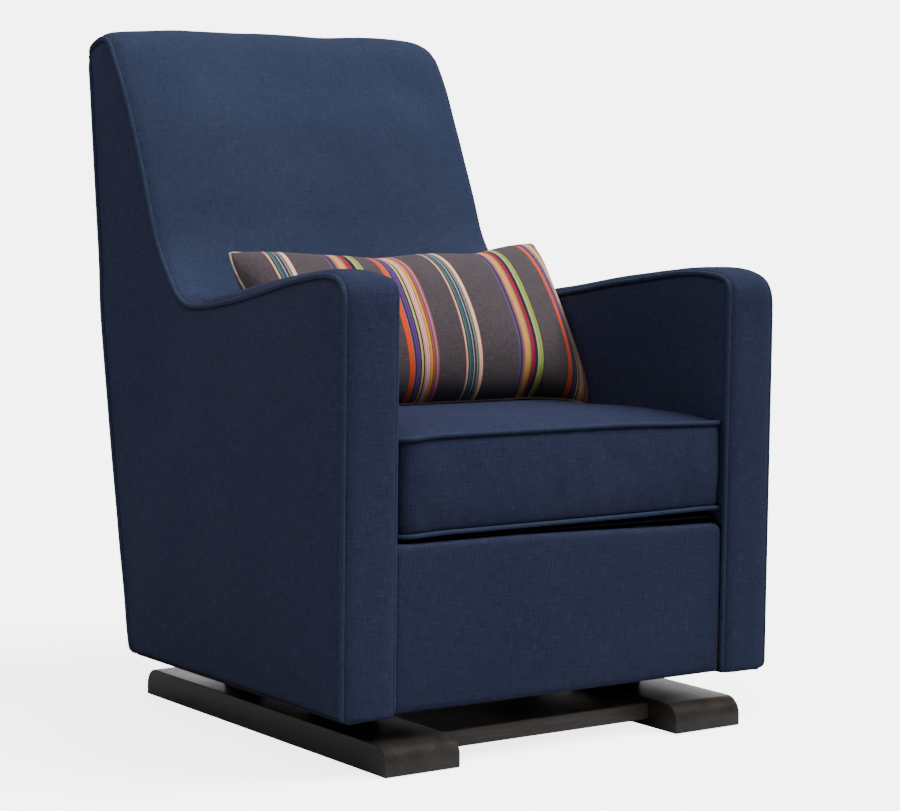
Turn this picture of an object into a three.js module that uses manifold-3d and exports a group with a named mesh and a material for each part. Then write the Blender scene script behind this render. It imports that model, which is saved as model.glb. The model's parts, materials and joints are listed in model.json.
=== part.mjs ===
// Upholstered glider armchair on a two-skid base.
// Millimetres, +Z up. The chair faces -Y and +X is on the right of someone looking at its front.
// The origin is on the floor, at the middle of the whole chair's footprint box.
//
// The seat body hangs on four links. Each link turns on a pin in a tower bolted to a skid,
// and carries a pin of the hanger rail at its lower end, so the body glides fore and aft
// while it stays level.
import * as THREE from 'three';
import { mergeVertices } from 'three/addons/utils/BufferGeometryUtils.js';
import Module from 'manifold-3d';

const wasm = await Module();
wasm.setup();

// ---------------------------------------------------------------- driving dimensions
const GAP = 0.35;                 // clearance kept between touching pieces

// seat body
const BODY_FRONT = -409;          // front plane of the arms
const BODY_BOTTOM = 76;           // lower edge of the upholstery above the floor
const HALF_W = 362;               // half width at the front
const BACK_TAPER = 60;            // how much each side leans in at the back
const ARM_INNER = 282.6;          // inner face of an arm from the centre plane
const ARM_INNER_TAPER = 16;       // how much that face closes in towards the back
const DECK_Z = 300;               // top of the seat deck
// arm top line, (y, z)
const ARM_TOP = [[-409, 606], [-406, 622], [-391, 637], [-373, 643], [-350, 644], [-308, 641],
  [-253, 634], [-189, 623], [-122, 611], [-54, 600], [17, 592], [63, 590], [96, 592], [122, 602]];
// front edge of the back's side, (z, y)
const BACK_EDGE = [[300, 28], [602, 122], [628, 155], [662, 191], [693, 208], [748, 230],
  [800, 254], [856, 278], [904, 305], [945, 331], [978, 353]];
// rear edge of the side, (z, y)
const REAR_EDGE = [[70, 156], [108, 173], [165, 193], [221, 215], [277, 235], [335, 256],
  [393, 276], [451, 295], [510, 314], [570, 332], [630, 348], [691, 363], [752, 377],
  [813, 390], [875, 402], [936, 413], [961, 419], [1000, 427]];
// padded front face of the back on the centre plane, (y, z), bottom to top
const BACK_FACE = [[10, 304], [20, 350], [27, 400], [37, 450], [58, 500], [88, 550], [125, 600],
  [160, 650], [190, 700], [212, 748], [236, 800], [260, 856], [289, 904], [319, 945], [340, 970],
  [355, 982], [375, 988], [396, 984], [409, 968]];
const OUTER_BACK_T = 8;           // thickness of the outer back panel

// seat cushion and lumbar pillow
const CUSHION = { halfW: 276, taper: 7, front: -402, rear: 4, z0: 303, z1: 438, crown: 452 };
const PILLOW = { halfW: 268, bottomY: -99, bottomZ: 462.5, length: 252, thick: 150, lean: 35.7 };

// base
const SKID = { x0: 187, x1: 302, front: -424, rear: 214, z0: 2.35, z1: 40.6, round: 25 };
const CROSSBAR = { z0: 11.5, z1: 36.4, y: [[-366, -26], [112, 204]] };   // a wide front board and a rear bar
const FLOOR_GLIDE = { r: 12, h: 2, y: [-378, 176] };

// glide mechanism
const PIVOT_Y = [-212, 18];       // front and rear pivots
const UPPER_Z = 205;              // upper pivot, on the tower
const LINK_LEN = 105;             // upper pivot to lower pivot
const LOWER_Z = UPPER_Z - LINK_LEN;
const TOWER = { x0: 254, t: 6, foot: 56, boltX: 229, halfW: 46, top: 224 };   // the foot turns in, under the link
const LINK = { x0: 238, x1: 246, r: 17 };
const HANGER = { x0: 224, x1: 230, z0: 84, z1: 122, flange: 34, front: -381, rear: 141 };
const BEARING = { ro: 13, ri: 5.35 };
const PIN_R = 5;
const GLIDE_RAIL_Y = [[-384.5, -350], [106, 142]];
const SWING_STOP_DEG = 22;        // link angle at the rubber stops

// timber frame
const BOARD = { xFront: 322, slope: 0.0533, t: 15 };
const SEAT_RAIL = { z0: 236, z1: 285, front: [-385, -360], rear: [62, 87] };

// ---------------------------------------------------------------- helpers
const lerp = (a, b, t) => a + (b - a) * t;
function table(rows, v) {
  if (v <= rows[0][0]) return rows[0][1];
  for (let i = 1; i < rows.length; i++) {
    if (v <= rows[i][0]) {
      return lerp(rows[i - 1][1], rows[i][1], (v - rows[i - 1][0]) / (rows[i][0] - rows[i - 1][0]));
    }
  }
  return rows[rows.length - 1][1];
}
const rearY = (z) => table(REAR_EDGE, z);
const edgeY = (z) => table(BACK_EDGE, z);

// Outer half width of the body at depth y and height z: parallel at the bottom, leaning in
// towards the back higher up.
function sideX(y, z) {
  const u = Math.min(Math.max((y - BODY_FRONT) / 600, 0), 1);
  const v = Math.min(Math.max((z - 77) / 560, 0), 1);
  const s = 0.5 * v * v * (3 - 2 * v) + 0.5 * v;
  const base = HALF_W - BACK_TAPER * u * s;
  const t = Math.min(Math.max((z - 77) / 884, 0), 1);
  const rear = HALF_W - BACK_TAPER * (1 - Math.pow(1 - t, 1.4));
  const y1 = Math.max(edgeY(z), -109);
  const w = Math.min(Math.max((y - y1) / Math.max(rearY(z) - y1, 1), 0), 1);
  return lerp(base, rear, w * w);
}
function armInnerX(y, z) {
  const u = Math.min(Math.max((y - BODY_FRONT) / 600, 0), 1);
  const s = Math.min(Math.max((z - DECK_Z) / 250, 0), 1);
  return ARM_INNER - ARM_INNER_TAPER * u * s;
}
const boardX = (y) => BOARD.xFront - BOARD.slope * (y - BODY_FRONT);

function strip(geometry) {
  const g = geometry.clone();
  for (const name of Object.keys(g.attributes)) if (name !== 'position') g.deleteAttribute(name);
  return mergeVertices(g, 1e-4);
}
function solid(geometry) {
  const g = strip(geometry);
  return new wasm.Manifold(new wasm.Mesh({
    numProp: 3,
    vertProperties: new Float32Array(g.attributes.position.array),
    triVerts: new Uint32Array(g.index.array),
  }));
}
function geometryOf(manifold) {
  const m = manifold.getMesh();
  const g = new THREE.BufferGeometry();
  const pos = new Float32Array(m.numVert * 3);
  for (let i = 0; i < m.numVert; i++) {
    for (let k = 0; k < 3; k++) pos[3 * i + k] = m.vertProperties[i * m.numProp + k];
  }
  g.setAttribute('position', new THREE.BufferAttribute(pos, 3));
  g.setIndex(new THREE.BufferAttribute(new Uint32Array(m.triVerts), 1));
  g.computeVertexNormals();
  return g;
}
const cut = (a, ...tools) => geometryOf(tools.reduce((s, t) => s.subtract(solid(t)), solid(a)));

// Closed shell between two surfaces A(u, v) and B(u, v), u and v from 0 to 1.
function slab(nu, nv, A, B) {
  const pos = [];
  const idx = [];
  const at = (side, i, j) => side * (nu + 1) * (nv + 1) + j * (nu + 1) + i;
  for (const f of [A, B]) {
    for (let j = 0; j <= nv; j++) for (let i = 0; i <= nu; i++) pos.push(...f(i / nu, j / nv));
  }
  for (let j = 0; j < nv; j++) {
    for (let i = 0; i < nu; i++) {
      idx.push(at(0, i, j), at(0, i + 1, j + 1), at(0, i + 1, j), at(0, i, j), at(0, i, j + 1), at(0, i + 1, j + 1));
      idx.push(at(1, i, j), at(1, i + 1, j), at(1, i + 1, j + 1), at(1, i, j), at(1, i + 1, j + 1), at(1, i, j + 1));
    }
  }
  const wall = (a, b, c, d) => idx.push(a, b, c, a, c, d);
  for (let i = 0; i < nu; i++) {
    wall(at(0, i, 0), at(0, i + 1, 0), at(1, i + 1, 0), at(1, i, 0));
    wall(at(1, i, nv), at(1, i + 1, nv), at(0, i + 1, nv), at(0, i, nv));
  }
  for (let j = 0; j < nv; j++) {
    wall(at(1, 0, j), at(1, 0, j + 1), at(0, 0, j + 1), at(0, 0, j));
    wall(at(0, nu, j), at(0, nu, j + 1), at(1, nu, j + 1), at(1, nu, j));
  }
  const g = new THREE.BufferGeometry();
  g.setAttribute('position', new THREE.BufferAttribute(new Float32Array(pos), 3));
  g.setIndex(idx);
  return outward(g);
}
// Turns a closed mesh's faces outwards.
function outward(g) {
  const p = g.attributes.position;
  const ix = g.index.array;
  const a = new THREE.Vector3(), b = new THREE.Vector3(), c = new THREE.Vector3();
  let vol = 0;
  for (let i = 0; i < ix.length; i += 3) {
    a.fromBufferAttribute(p, ix[i]); b.fromBufferAttribute(p, ix[i + 1]); c.fromBufferAttribute(p, ix[i + 2]);
    vol += a.dot(b.cross(c));
  }
  if (vol < 0) {
    const flipped = Array.from(ix);
    for (let i = 0; i < flipped.length; i += 3) [flipped[i + 1], flipped[i + 2]] = [flipped[i + 2], flipped[i + 1]];
    g.setIndex(flipped);
  }
  g.computeVertexNormals();
  return g;
}

const shapeOf = (pts, holes = []) => {
  const s = new THREE.Shape(pts.map((p) => new THREE.Vector2(p[0], p[1])));
  for (const h of holes) s.holes.push(new THREE.Path(h.map((p) => new THREE.Vector2(p[0], p[1]))));
  return s;
};
const circlePts = (cx, cy, r, n, phase = 0) => Array.from({ length: n }, (_, i) => {
  const a = phase + (i / n) * 2 * Math.PI;
  return [cx + r * Math.cos(a), cy + r * Math.sin(a)];
});
// Outline in Y and Z, run along X from x0 to x1.
function alongX(pts, x0, x1, holes = []) {
  const g = new THREE.ExtrudeGeometry(shapeOf(pts, holes), { depth: x1 - x0, bevelEnabled: false });
  g.applyMatrix4(new THREE.Matrix4().set(0, 0, 1, x0, 1, 0, 0, 0, 0, 1, 0, 0, 0, 0, 0, 1));
  return g;
}
// Outline in X and Z, run along Y from y0 to y1.
function alongY(pts, y0, y1, holes = []) {
  const g = new THREE.ExtrudeGeometry(shapeOf(pts, holes), { depth: y1 - y0, bevelEnabled: false });
  g.applyMatrix4(new THREE.Matrix4().set(1, 0, 0, 0, 0, 0, -1, y1, 0, 1, 0, 0, 0, 0, 0, 1));
  return g;
}
// Outline in X and Y, run along Z from z0 to z1.
function alongZ(pts, z0, z1, holes = []) {
  const g = new THREE.ExtrudeGeometry(shapeOf(pts, holes), { depth: z1 - z0, bevelEnabled: false });
  g.translate(0, 0, z0);
  return g;
}
function box(x0, x1, y0, y1, z0, z1) {
  const g = new THREE.BoxGeometry(x1 - x0, y1 - y0, z1 - z0);
  g.translate((x0 + x1) / 2, (y0 + y1) / 2, (z0 + z1) / 2);
  return g;
}
function bend(g, f) {
  const p = g.attributes.position;
  for (let i = 0; i < p.count; i++) p.setXYZ(i, ...f(p.getX(i), p.getY(i), p.getZ(i)));
  g.computeVertexNormals();
  return g;
}
// Mirror across the X = 0 plane, faces kept outwards.
function mirrored(g) {
  const m = g.index ? g.clone() : mergeVertices(g.clone());
  const p = m.attributes.position;
  for (let i = 0; i < p.count; i++) p.setX(i, -p.getX(i));
  const ix = Array.from(m.index.array);
  for (let i = 0; i < ix.length; i += 3) [ix[i + 1], ix[i + 2]] = [ix[i + 2], ix[i + 1]];
  m.setIndex(ix);
  m.computeVertexNormals();
  return m;
}
const roundedRect = (x0, x1, y0, y1, r, n = 4) => {
  const pts = [];
  for (const [cx, cy, a0] of [[x1 - r, y0 + r, -90], [x1 - r, y1 - r, 0], [x0 + r, y1 - r, 90], [x0 + r, y0 + r, 180]]) {
    for (let i = 0; i <= n; i++) {
      const a = ((a0 + (90 * i) / n) * Math.PI) / 180;
      pts.push([cx + r * Math.cos(a), cy + r * Math.sin(a)]);
    }
  }
  return pts;
};

// ---------------------------------------------------------------- materials
const NAVY = 0x2b3a55, NAVY_DARK = 0x232c40, ESPRESSO = 0x2c2826, BIRCH = 0xc9a878;
const STEEL = 0x8c8f93, ZINC = 0xb4b7ba, BLACK = 0x1b1b1c, PILLOW_GREY = 0x5a4e50;
const LOOKS = {
  upholstery: [NAVY, 0.85, 0], cushion: [NAVY, 0.85, 0], pillow: [PILLOW_GREY, 0.9, 0],
  cambric: [BLACK, 0.95, 0], timber: [BIRCH, 0.7, 0], skid_wood: [ESPRESSO, 0.35, 0],
  bracket_steel: [BLACK, 0.45, 0.6], link_steel: [ZINC, 0.35, 1], pin_steel: [STEEL, 0.3, 1],
  spring_steel: [STEEL, 0.4, 1], felt: [BLACK, 0.95, 0], rubber: [BLACK, 0.8, 0], panel: [NAVY_DARK, 0.85, 0],
};
const chair = new THREE.Group();
chair.name = 'glider_chair';
function add(name, geometry, look) {
  const [color, roughness, metalness] = LOOKS[look];
  const mesh = new THREE.Mesh(geometry, new THREE.MeshStandardMaterial({ color, roughness, metalness }));
  mesh.name = name;
  chair.add(mesh);
  return mesh;
}
const SIDES = [['left', -1], ['right', 1]];
const ENDS = [['front', 0], ['rear', 1]];
const sided = (g, sgn) => (sgn < 0 ? mirrored(g) : g);

// ---------------------------------------------------------------- base: skids, crossbars, floor glides
function skidGeometry() {
  const { x0, x1, front, rear, z0, z1, round: r } = SKID;
  const pts = [[front + 2, z0], [rear - 2, z0], [rear, z0 + 2]];
  for (let i = 0; i <= 6; i++) {
    const a = (i / 6) * (Math.PI / 2);
    pts.push([rear - r + r * Math.cos(a), z1 - r + r * Math.sin(a)]);
  }
  for (let i = 0; i <= 6; i++) {
    const a = Math.PI / 2 + (i / 6) * (Math.PI / 2);
    pts.push([front + r + r * Math.cos(a), z1 - r + r * Math.sin(a)]);
  }
  pts.push([front, z0 + 2]);
  const holes = PIVOT_Y.map((y) => alongZ(circlePts(TOWER.boltX, y, 4.4, 12), 10, 60));
  return cut(alongX(pts, x0, x1), ...holes);
}
const skid = skidGeometry();
for (const [side, sgn] of SIDES) add(`skid_${side}`, sided(skid, sgn), 'skid_wood');
for (const [end, k] of ENDS) {
  const [y0, y1] = CROSSBAR.y[k];
  const pts = roundedRect(y0, y1, CROSSBAR.z0, CROSSBAR.z1, 3, 2);
  add(`crossbar_${end}`, alongX(pts, -SKID.x0 + GAP, SKID.x0 - GAP), 'skid_wood');
}
for (const [end, k] of ENDS) {
  for (const [side, sgn] of SIDES) {
    const g = alongZ(circlePts(sgn * 244.5, FLOOR_GLIDE.y[k], FLOOR_GLIDE.r, 16), 0, FLOOR_GLIDE.h);
    add(`floor_glide_${end}_${side}`, g, 'felt');
  }
}

// ---------------------------------------------------------------- towers, bolts and upper pins
function towerGeometry(y) {
  const { x0, t, foot, halfW, top } = TOWER;
  const z0 = SKID.z1 + GAP;
  const upright = alongX([[y - halfW, z0], [y + halfW, z0], [y + halfW, top - 50], [y + 20, top], [y - 20, top], [y - halfW, top - 50]],
    x0, x0 + t, [circlePts(y, UPPER_Z, PIN_R + GAP, 16)]);
  const base = alongZ([[x0 + t - foot, y - halfW], [x0 + t - 1, y - halfW], [x0 + t - 1, y + halfW], [x0 + t - foot, y + halfW]],
    z0, z0 + t, [circlePts(TOWER.boltX, y, 4.5, 12)]);
  return geometryOf(solid(upright).add(solid(base)));
}
function towerBoltGeometry(y) {
  const seat = SKID.z1 + GAP + TOWER.t + GAP;
  const head = alongZ(circlePts(TOWER.boltX, y, 7.5, 6), seat, seat + 5.3);
  const shank = alongZ(circlePts(TOWER.boltX, y, 4, 12), 12, seat + 1);
  return geometryOf(solid(head).add(solid(shank)));
}
// A headed pin along X through the lathe profile [radius, x].
function pinGeometry(y, z, profile) {
  const g = new THREE.LatheGeometry(profile.map(([r, x]) => new THREE.Vector2(r, x)), 12);
  g.applyMatrix4(new THREE.Matrix4().set(0, 1, 0, 0, 0, 0, 1, y, 1, 0, 0, z, 0, 0, 0, 1));
  const closed = strip(g);
  return outward(closed);
}
for (const [end, k] of ENDS) {
  const y = PIVOT_Y[k];
  const tower = towerGeometry(y);
  const bolt = towerBoltGeometry(y);
  const a = TOWER.x0 + TOWER.t + GAP;
  const upperPin = pinGeometry(y, UPPER_Z, [[0, 233], [7, 233], [8, 234], [8, LINK.x0 - GAP], [PIN_R, LINK.x0 - GAP],
    [PIN_R, a], [9, a], [9, a + 3], [6, a + 4.5], [0, a + 4.5]]);
  for (const [side, sgn] of SIDES) {
    add(`tower_${end}_${side}`, sided(tower, sgn), 'bracket_steel');
    add(`tower_bolt_${end}_${side}`, sided(bolt, sgn), 'pin_steel');
    add(`upper_pivot_pin_${end}_${side}`, sided(upperPin, sgn), 'pin_steel');
  }
}
// Rubber stops: a block on each front tower with a notch that the link swings in.
{
  const y = PIVOT_Y[0];
  const a = (SWING_STOP_DEG * Math.PI) / 180;
  const z0 = 140, z1 = 164;
  const reach = (z) => (UPPER_Z - z) * Math.tan(a) + (LINK.r + 0.4) / Math.cos(a);
  const block = box(240, TOWER.x0 - GAP, y - 45, y + 45, z0, z1);
  const notch = alongX([[y - reach(z0 - 5), z0 - 5], [y + reach(z0 - 5), z0 - 5], [y + reach(z1 + 5), z1 + 5], [y - reach(z1 + 5), z1 + 5]], 230, 248);
  const g = cut(block, notch);
  for (const [side, sgn] of SIDES) add(`stop_bumper_${side}`, sided(g, sgn), 'rubber');
}

// ---------------------------------------------------------------- links and their bearings
const stadium = (y, z0, z1, r, n = 8) => {
  const pts = [];
  for (let i = 0; i <= n; i++) { const a = (i / n) * Math.PI; pts.push([y + r * Math.cos(a), z1 + r * Math.sin(a)]); }
  for (let i = 0; i <= n; i++) { const a = Math.PI + (i / n) * Math.PI; pts.push([y + r * Math.cos(a), z0 + r * Math.sin(a)]); }
  return pts;
};
for (const [end, k] of ENDS) {
  const y = PIVOT_Y[k];
  const bar = alongX(stadium(y, LOWER_Z, UPPER_Z, LINK.r), LINK.x0, LINK.x1,
    [circlePts(y, UPPER_Z, BEARING.ro + 0.35, 20), circlePts(y, LOWER_Z, BEARING.ro + 0.35, 20)]);
  for (const [side, sgn] of SIDES) {
    add(`link_${end}_${side}`, sided(bar, sgn), 'link_steel');
    for (const [which, z] of [['upper', UPPER_Z], ['lower', LOWER_Z]]) {
      const ring = alongX(circlePts(y, z, BEARING.ro, 20), LINK.x0 + 0.2, LINK.x1 - 0.2, [circlePts(y, z, BEARING.ri, 16)]);
      add(`link_bearing_${which}_${end}_${side}`, sided(ring, sgn), 'pin_steel');
    }
  }
}

// ---------------------------------------------------------------- hanger rails, lower pins and cross rails
{
  const { x0, x1, z0, z1, flange, front, rear } = HANGER;
  const leg = alongX([[front, z0 + 8], [front + 10, z0], [rear - 10, z0], [rear, z0 + 8], [rear, z1], [front, z1]], x0, x1,
    PIVOT_Y.map((y) => circlePts(y, LOWER_Z, PIN_R + GAP, 16)));
  const top = box(x1 - flange, x1 - 1, front, rear, z1 - 4, z1);
  const g = geometryOf(solid(leg).add(solid(top)));
  for (const [side, sgn] of SIDES) add(`hanger_rail_${side}`, sided(g, sgn), 'bracket_steel');
}
for (const [end, k] of ENDS) {
  const y = PIVOT_Y[k];
  const pin = pinGeometry(y, LOWER_Z, [[0, 218], [7, 218], [9, 220], [9, HANGER.x0 - GAP], [PIN_R, HANGER.x0 - GAP],
    [PIN_R, LINK.x1 + GAP], [8, LINK.x1 + GAP], [8, LINK.x1 + 2], [6, LINK.x1 + 3.5], [0, LINK.x1 + 3.5]]);
  for (const [side, sgn] of SIDES) add(`lower_pivot_pin_${end}_${side}`, sided(pin, sgn), 'pin_steel');
}

// Timber cross members reach from one side board to the other.
const boardInner = (y) => boardX(y) - BOARD.t / 2;
function crossMember(y0, y1, z0, z1, grow = 0) {
  const g = new THREE.BoxGeometry(2, y1 - y0 + 2 * grow, z1 - z0 + 2 * grow);
  g.translate(0, (y0 + y1) / 2, (z0 + z1) / 2);
  return bend(g, (x, y, z) => [x * (boardInner(y) - GAP + 2 * grow), y, z]);
}
const members = {
  front_rail: [...SEAT_RAIL.front, SEAT_RAIL.z0, SEAT_RAIL.z1],
  rear_rail: [...SEAT_RAIL.rear, SEAT_RAIL.z0, SEAT_RAIL.z1],
  glide_rail_front: [...GLIDE_RAIL_Y[0], HANGER.z1 + GAP, 162],
  glide_rail_rear: [...GLIDE_RAIL_Y[1], HANGER.z1 + GAP, 162],
  back_top_rail: [362, 390, 872, 924],
};
for (const [name, d] of Object.entries(members)) add(name, crossMember(...d), 'timber');

// ---------------------------------------------------------------- plywood side boards
const boardOutline = [[-394, 84], [128, 84], [140, 110], [168, 165], [210, 277], [250, 393], [290, 510], [324, 630],
  [353, 752], [379, 875], [392, 940], [386, 950], [357, 945], [303, 856], [255, 748], [216, 662], [150, 600],
  [122, 584], [63, 570], [17, 572], [-54, 580], [-122, 591], [-189, 603], [-253, 614], [-308, 622], [-350, 625],
  [-378, 624], [-394, 608]];
const boardWindow = [[-334, 168], [96, 168], [142, 277], [178, 393], [204, 490], [150, 520], [63, 508], [17, 510],
  [-54, 518], [-189, 541], [-308, 560], [-334, 562]];
function boardGeometry(grow) {
  const t = BOARD.t / 2 + grow;
  // The pocket around the board is the same outline, opened up by the clearance.
  const g = alongX(offset(boardOutline, grow), -t, t, [offset(boardWindow, -grow)]);
  return bend(g, (x, y, z) => [x + boardX(y), y, z]);
}
// Moves each side of a closed polygon outwards by d.
function offset(pts, d) {
  if (!d) return pts;
  const n = pts.length;
  let area = 0;
  for (let i = 0; i < n; i++) { const [a, b] = [pts[i], pts[(i + 1) % n]]; area += a[0] * b[1] - b[0] * a[1]; }
  const sgn = area > 0 ? 1 : -1;
  return pts.map((p, i) => {
    const q = pts[(i + n - 1) % n], r = pts[(i + 1) % n];
    const n1 = [p[1] - q[1], q[0] - p[0]], n2 = [r[1] - p[1], p[0] - r[0]];
    const l1 = Math.hypot(...n1), l2 = Math.hypot(...n2);
    const u = [sgn * n1[0] / l1, sgn * n1[1] / l1], v = [sgn * n2[0] / l2, sgn * n2[1] / l2];
    const k = d / (1 + u[0] * v[0] + u[1] * v[1]);
    return [p[0] + k * (u[0] + v[0]), p[1] + k * (u[1] + v[1])];
  });
}
for (const [side, sgn] of SIDES) add(`side_board_${side}`, sided(boardGeometry(0), sgn), 'timber');

// ---------------------------------------------------------------- arms
function sideSlab(inner, outer = sideX) {
  const y0 = BODY_FRONT, y1 = 440, z0 = BODY_BOTTOM, z1 = 700;
  const at = (f) => (u, v) => { const y = lerp(y0, y1, u), z = lerp(z0, z1, v); return [f(y, z), y, z]; };
  return slab(12, 14, at(outer), at(inner));
}
let armZone;                      // the room an arm takes, with its clearance
{
  const outline = [[BODY_FRONT, BODY_BOTTOM]];
  for (const z of [BODY_BOTTOM, 108, 165, 221, 277, DECK_Z + 2]) outline.push([rearY(z) - OUTER_BACK_T - GAP, z]);
  outline.push([edgeY(304) - 4, DECK_Z + 2]);
  for (const z of [400, 500, 560]) outline.push([edgeY(z) - 4, z]);
  for (let i = ARM_TOP.length - 1; i >= 0; i--) outline.push([ARM_TOP[i][0] - (i === ARM_TOP.length - 1 ? 4 : 0), ARM_TOP[i][1]]);
  const block = solid(alongX(outline, 200, 420));
  const zoneSlab = solid(sideSlab((y, z) => armInnerX(y, z) - GAP, (y, z) => sideX(y, z) + 20));
  armZone = geometryOf(zoneSlab.intersect(solid(alongX(offset(outline, GAP), 200, 420))));
  const armSolid = solid(sideSlab(armInnerX)).intersect(block);
  let arm = armSolid.subtract(solid(boardGeometry(GAP)));
  for (const d of Object.values(members)) arm = arm.subtract(solid(crossMember(...d, GAP)));
  const g = geometryOf(arm);
  for (const [side, sgn] of SIDES) add(`arm_${side}`, sided(g, sgn), 'upholstery');
}

// ---------------------------------------------------------------- back
function envelope(shrink) {
  const at = (sgn) => (u, v) => { const y = lerp(-20, 470, u), z = lerp(290, 1010, v); return [sgn * (sideX(y, z) - shrink), y, z]; };
  return slab(10, 12, at(1), at(-1));
}
{
  const rear = [];
  for (const z of [961, 936, 875, 813, 752, 691, 630, 570, 510, 451, 393, 335, DECK_Z + 4]) rear.push([rearY(z) - OUTER_BACK_T - GAP, z]);
  const outline = [...BACK_FACE, ...rear];
  const outer = solid(alongX(outline, -340, 340)).intersect(solid(envelope(0)))
    .subtract(solid(armZone)).subtract(solid(mirrored(armZone)));
  // pockets for the side boards and for the top rail, which slides in from the rear
  const railSlot = bend(box(-1, 1, members.back_top_rail[0] - GAP, 440, members.back_top_rail[2] - GAP, members.back_top_rail[3] + GAP),
    (x, y, z) => [x * (boardInner(Math.min(y, 400)) + 2), y, z]);
  const back = outer.subtract(solid(railSlot)).subtract(solid(boardGeometry(GAP))).subtract(solid(mirrored(boardGeometry(GAP))));
  add('back_upholstery', geometryOf(back), 'upholstery');
}
// outer back panel, down to the lower edge of the body
{
  const zs = [BODY_BOTTOM, 108, 165, 221, 277, 335, 393, 451, 510, 570, 630, 691, 752, 813, 875, 936, 961];
  const at = (d) => (u, v) => {
    const z = table(zs.map((q, i) => [i / (zs.length - 1), q]), v);
    const y = rearY(z);
    const bulge = 4.8 * (1 - Math.pow(2 * u - 1, 2));
    return [lerp(-1, 1, u) * (sideX(y, z) - 2), y + d + (d ? 0 : bulge), z];
  };
  add('outer_back_panel', slab(6, zs.length - 1, at(0), at(-OUTER_BACK_T)), 'panel');
}

// ---------------------------------------------------------------- front panel, deck, springs, dust cover
add('front_panel', alongY(roundedRect(-ARM_INNER + GAP, ARM_INNER - GAP, BODY_BOTTOM, DECK_Z, 10, 3), BODY_FRONT + 1, SEAT_RAIL.front[0] - GAP), 'upholstery');
add('seat_deck', alongX(roundedRect(SEAT_RAIL.front[0], 24, 292.5, DECK_Z, 3, 2), -ARM_INNER + GAP, ARM_INNER - GAP), 'cambric');
add('dust_cover', box(-ARM_INNER + GAP, ARM_INNER - GAP, SEAT_RAIL.front[0], SEAT_RAIL.rear[1], SEAT_RAIL.z0 - GAP - 1.6, SEAT_RAIL.z0 - GAP), 'cambric');
{
  const wire = 1.9, half = 20, pitch = 22;
  const y0 = SEAT_RAIL.front[0] + 6, y1 = SEAT_RAIL.rear[1] - 6;
  const z = SEAT_RAIL.z1 + GAP + wire;
  const n = Math.round((y1 - y0) / pitch);
  [-180, -60, 60, 180].forEach((x, i) => {
    const pts = [new THREE.Vector3(x, y0, z)];
    for (let k = 0; k < n; k++) {
      const s = k % 2 ? -1 : 1;
      pts.push(new THREE.Vector3(x + s * half, lerp(y0, y1, (k + 0.35) / n), z));
      pts.push(new THREE.Vector3(x + s * half, lerp(y0, y1, (k + 0.65) / n), z));
    }
    pts.push(new THREE.Vector3(x, y1, z));
    const path = new THREE.CurvePath();
    for (let k = 1; k < pts.length; k++) path.add(new THREE.LineCurve3(pts[k - 1], pts[k]));
    const curve = new THREE.CatmullRomCurve3(pts, false, 'catmullrom', 0.3);
    const section = shapeOf(circlePts(0, 0, wire, 5));
    const g = new THREE.ExtrudeGeometry(section, { steps: n * 3, bevelEnabled: false, extrudePath: curve });
    add(`seat_spring_${i + 1}`, outward(strip(g)), 'spring_steel');
  });
}

// ---------------------------------------------------------------- seat cushion and lumbar pillow
{
  const c = CUSHION;
  const top = (x, y) => {
    const a = 1 - Math.pow(Math.abs(x) / c.halfW, 3), b = 1 - Math.pow(Math.abs((y - (c.front + c.rear) / 2) / ((c.rear - c.front) / 2)), 3);
    return c.z1 + (c.crown - c.z1) * Math.min(1, 1.15 * a * b);
  };
  const at = (f) => (u, v) => {
    const x = lerp(-c.halfW, c.halfW, u), y = lerp(c.front, c.rear, v);
    return [x * (1 - (v * c.taper) / c.halfW), y, f(x, y)];
  };
  add('seat_cushion', slab(8, 8, at(top), at(() => c.z0)), 'cushion');
}
{
  const p = PILLOW;
  const a = (p.lean * Math.PI) / 180;
  const profile = [];
  const n = 10;
  const half = (s) => (p.thick / 2) * Math.pow(Math.sin(Math.PI * s), 0.62) + 2;
  for (let i = 0; i <= n; i++) profile.push([i / n * p.length, half(i / n)]);
  for (let i = n; i >= 0; i--) profile.push([i / n * p.length, -half(i / n)]);
  const pts = profile.map(([s, h]) => [p.bottomY + s * Math.sin(a) + h * Math.cos(a), p.bottomZ + s * Math.cos(a) - h * Math.sin(a)]);
  const g = alongX(pts, -p.halfW, p.halfW);
  // stand it on the cushion
  g.computeBoundingBox();
  g.translate(0, 0, CUSHION.crown + GAP - g.boundingBox.min.z);
  add('lumbar_pillow', g, 'pillow');
}

export default chair;
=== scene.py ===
"""Glider nursery chair: the looks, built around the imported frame. Metres, +Z up, chair faces -Y."""
import json
import math
import bpy
import numpy as np
from mathutils import Matrix, Vector
from mathutils.geometry import delaunay_2d_cdt


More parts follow.
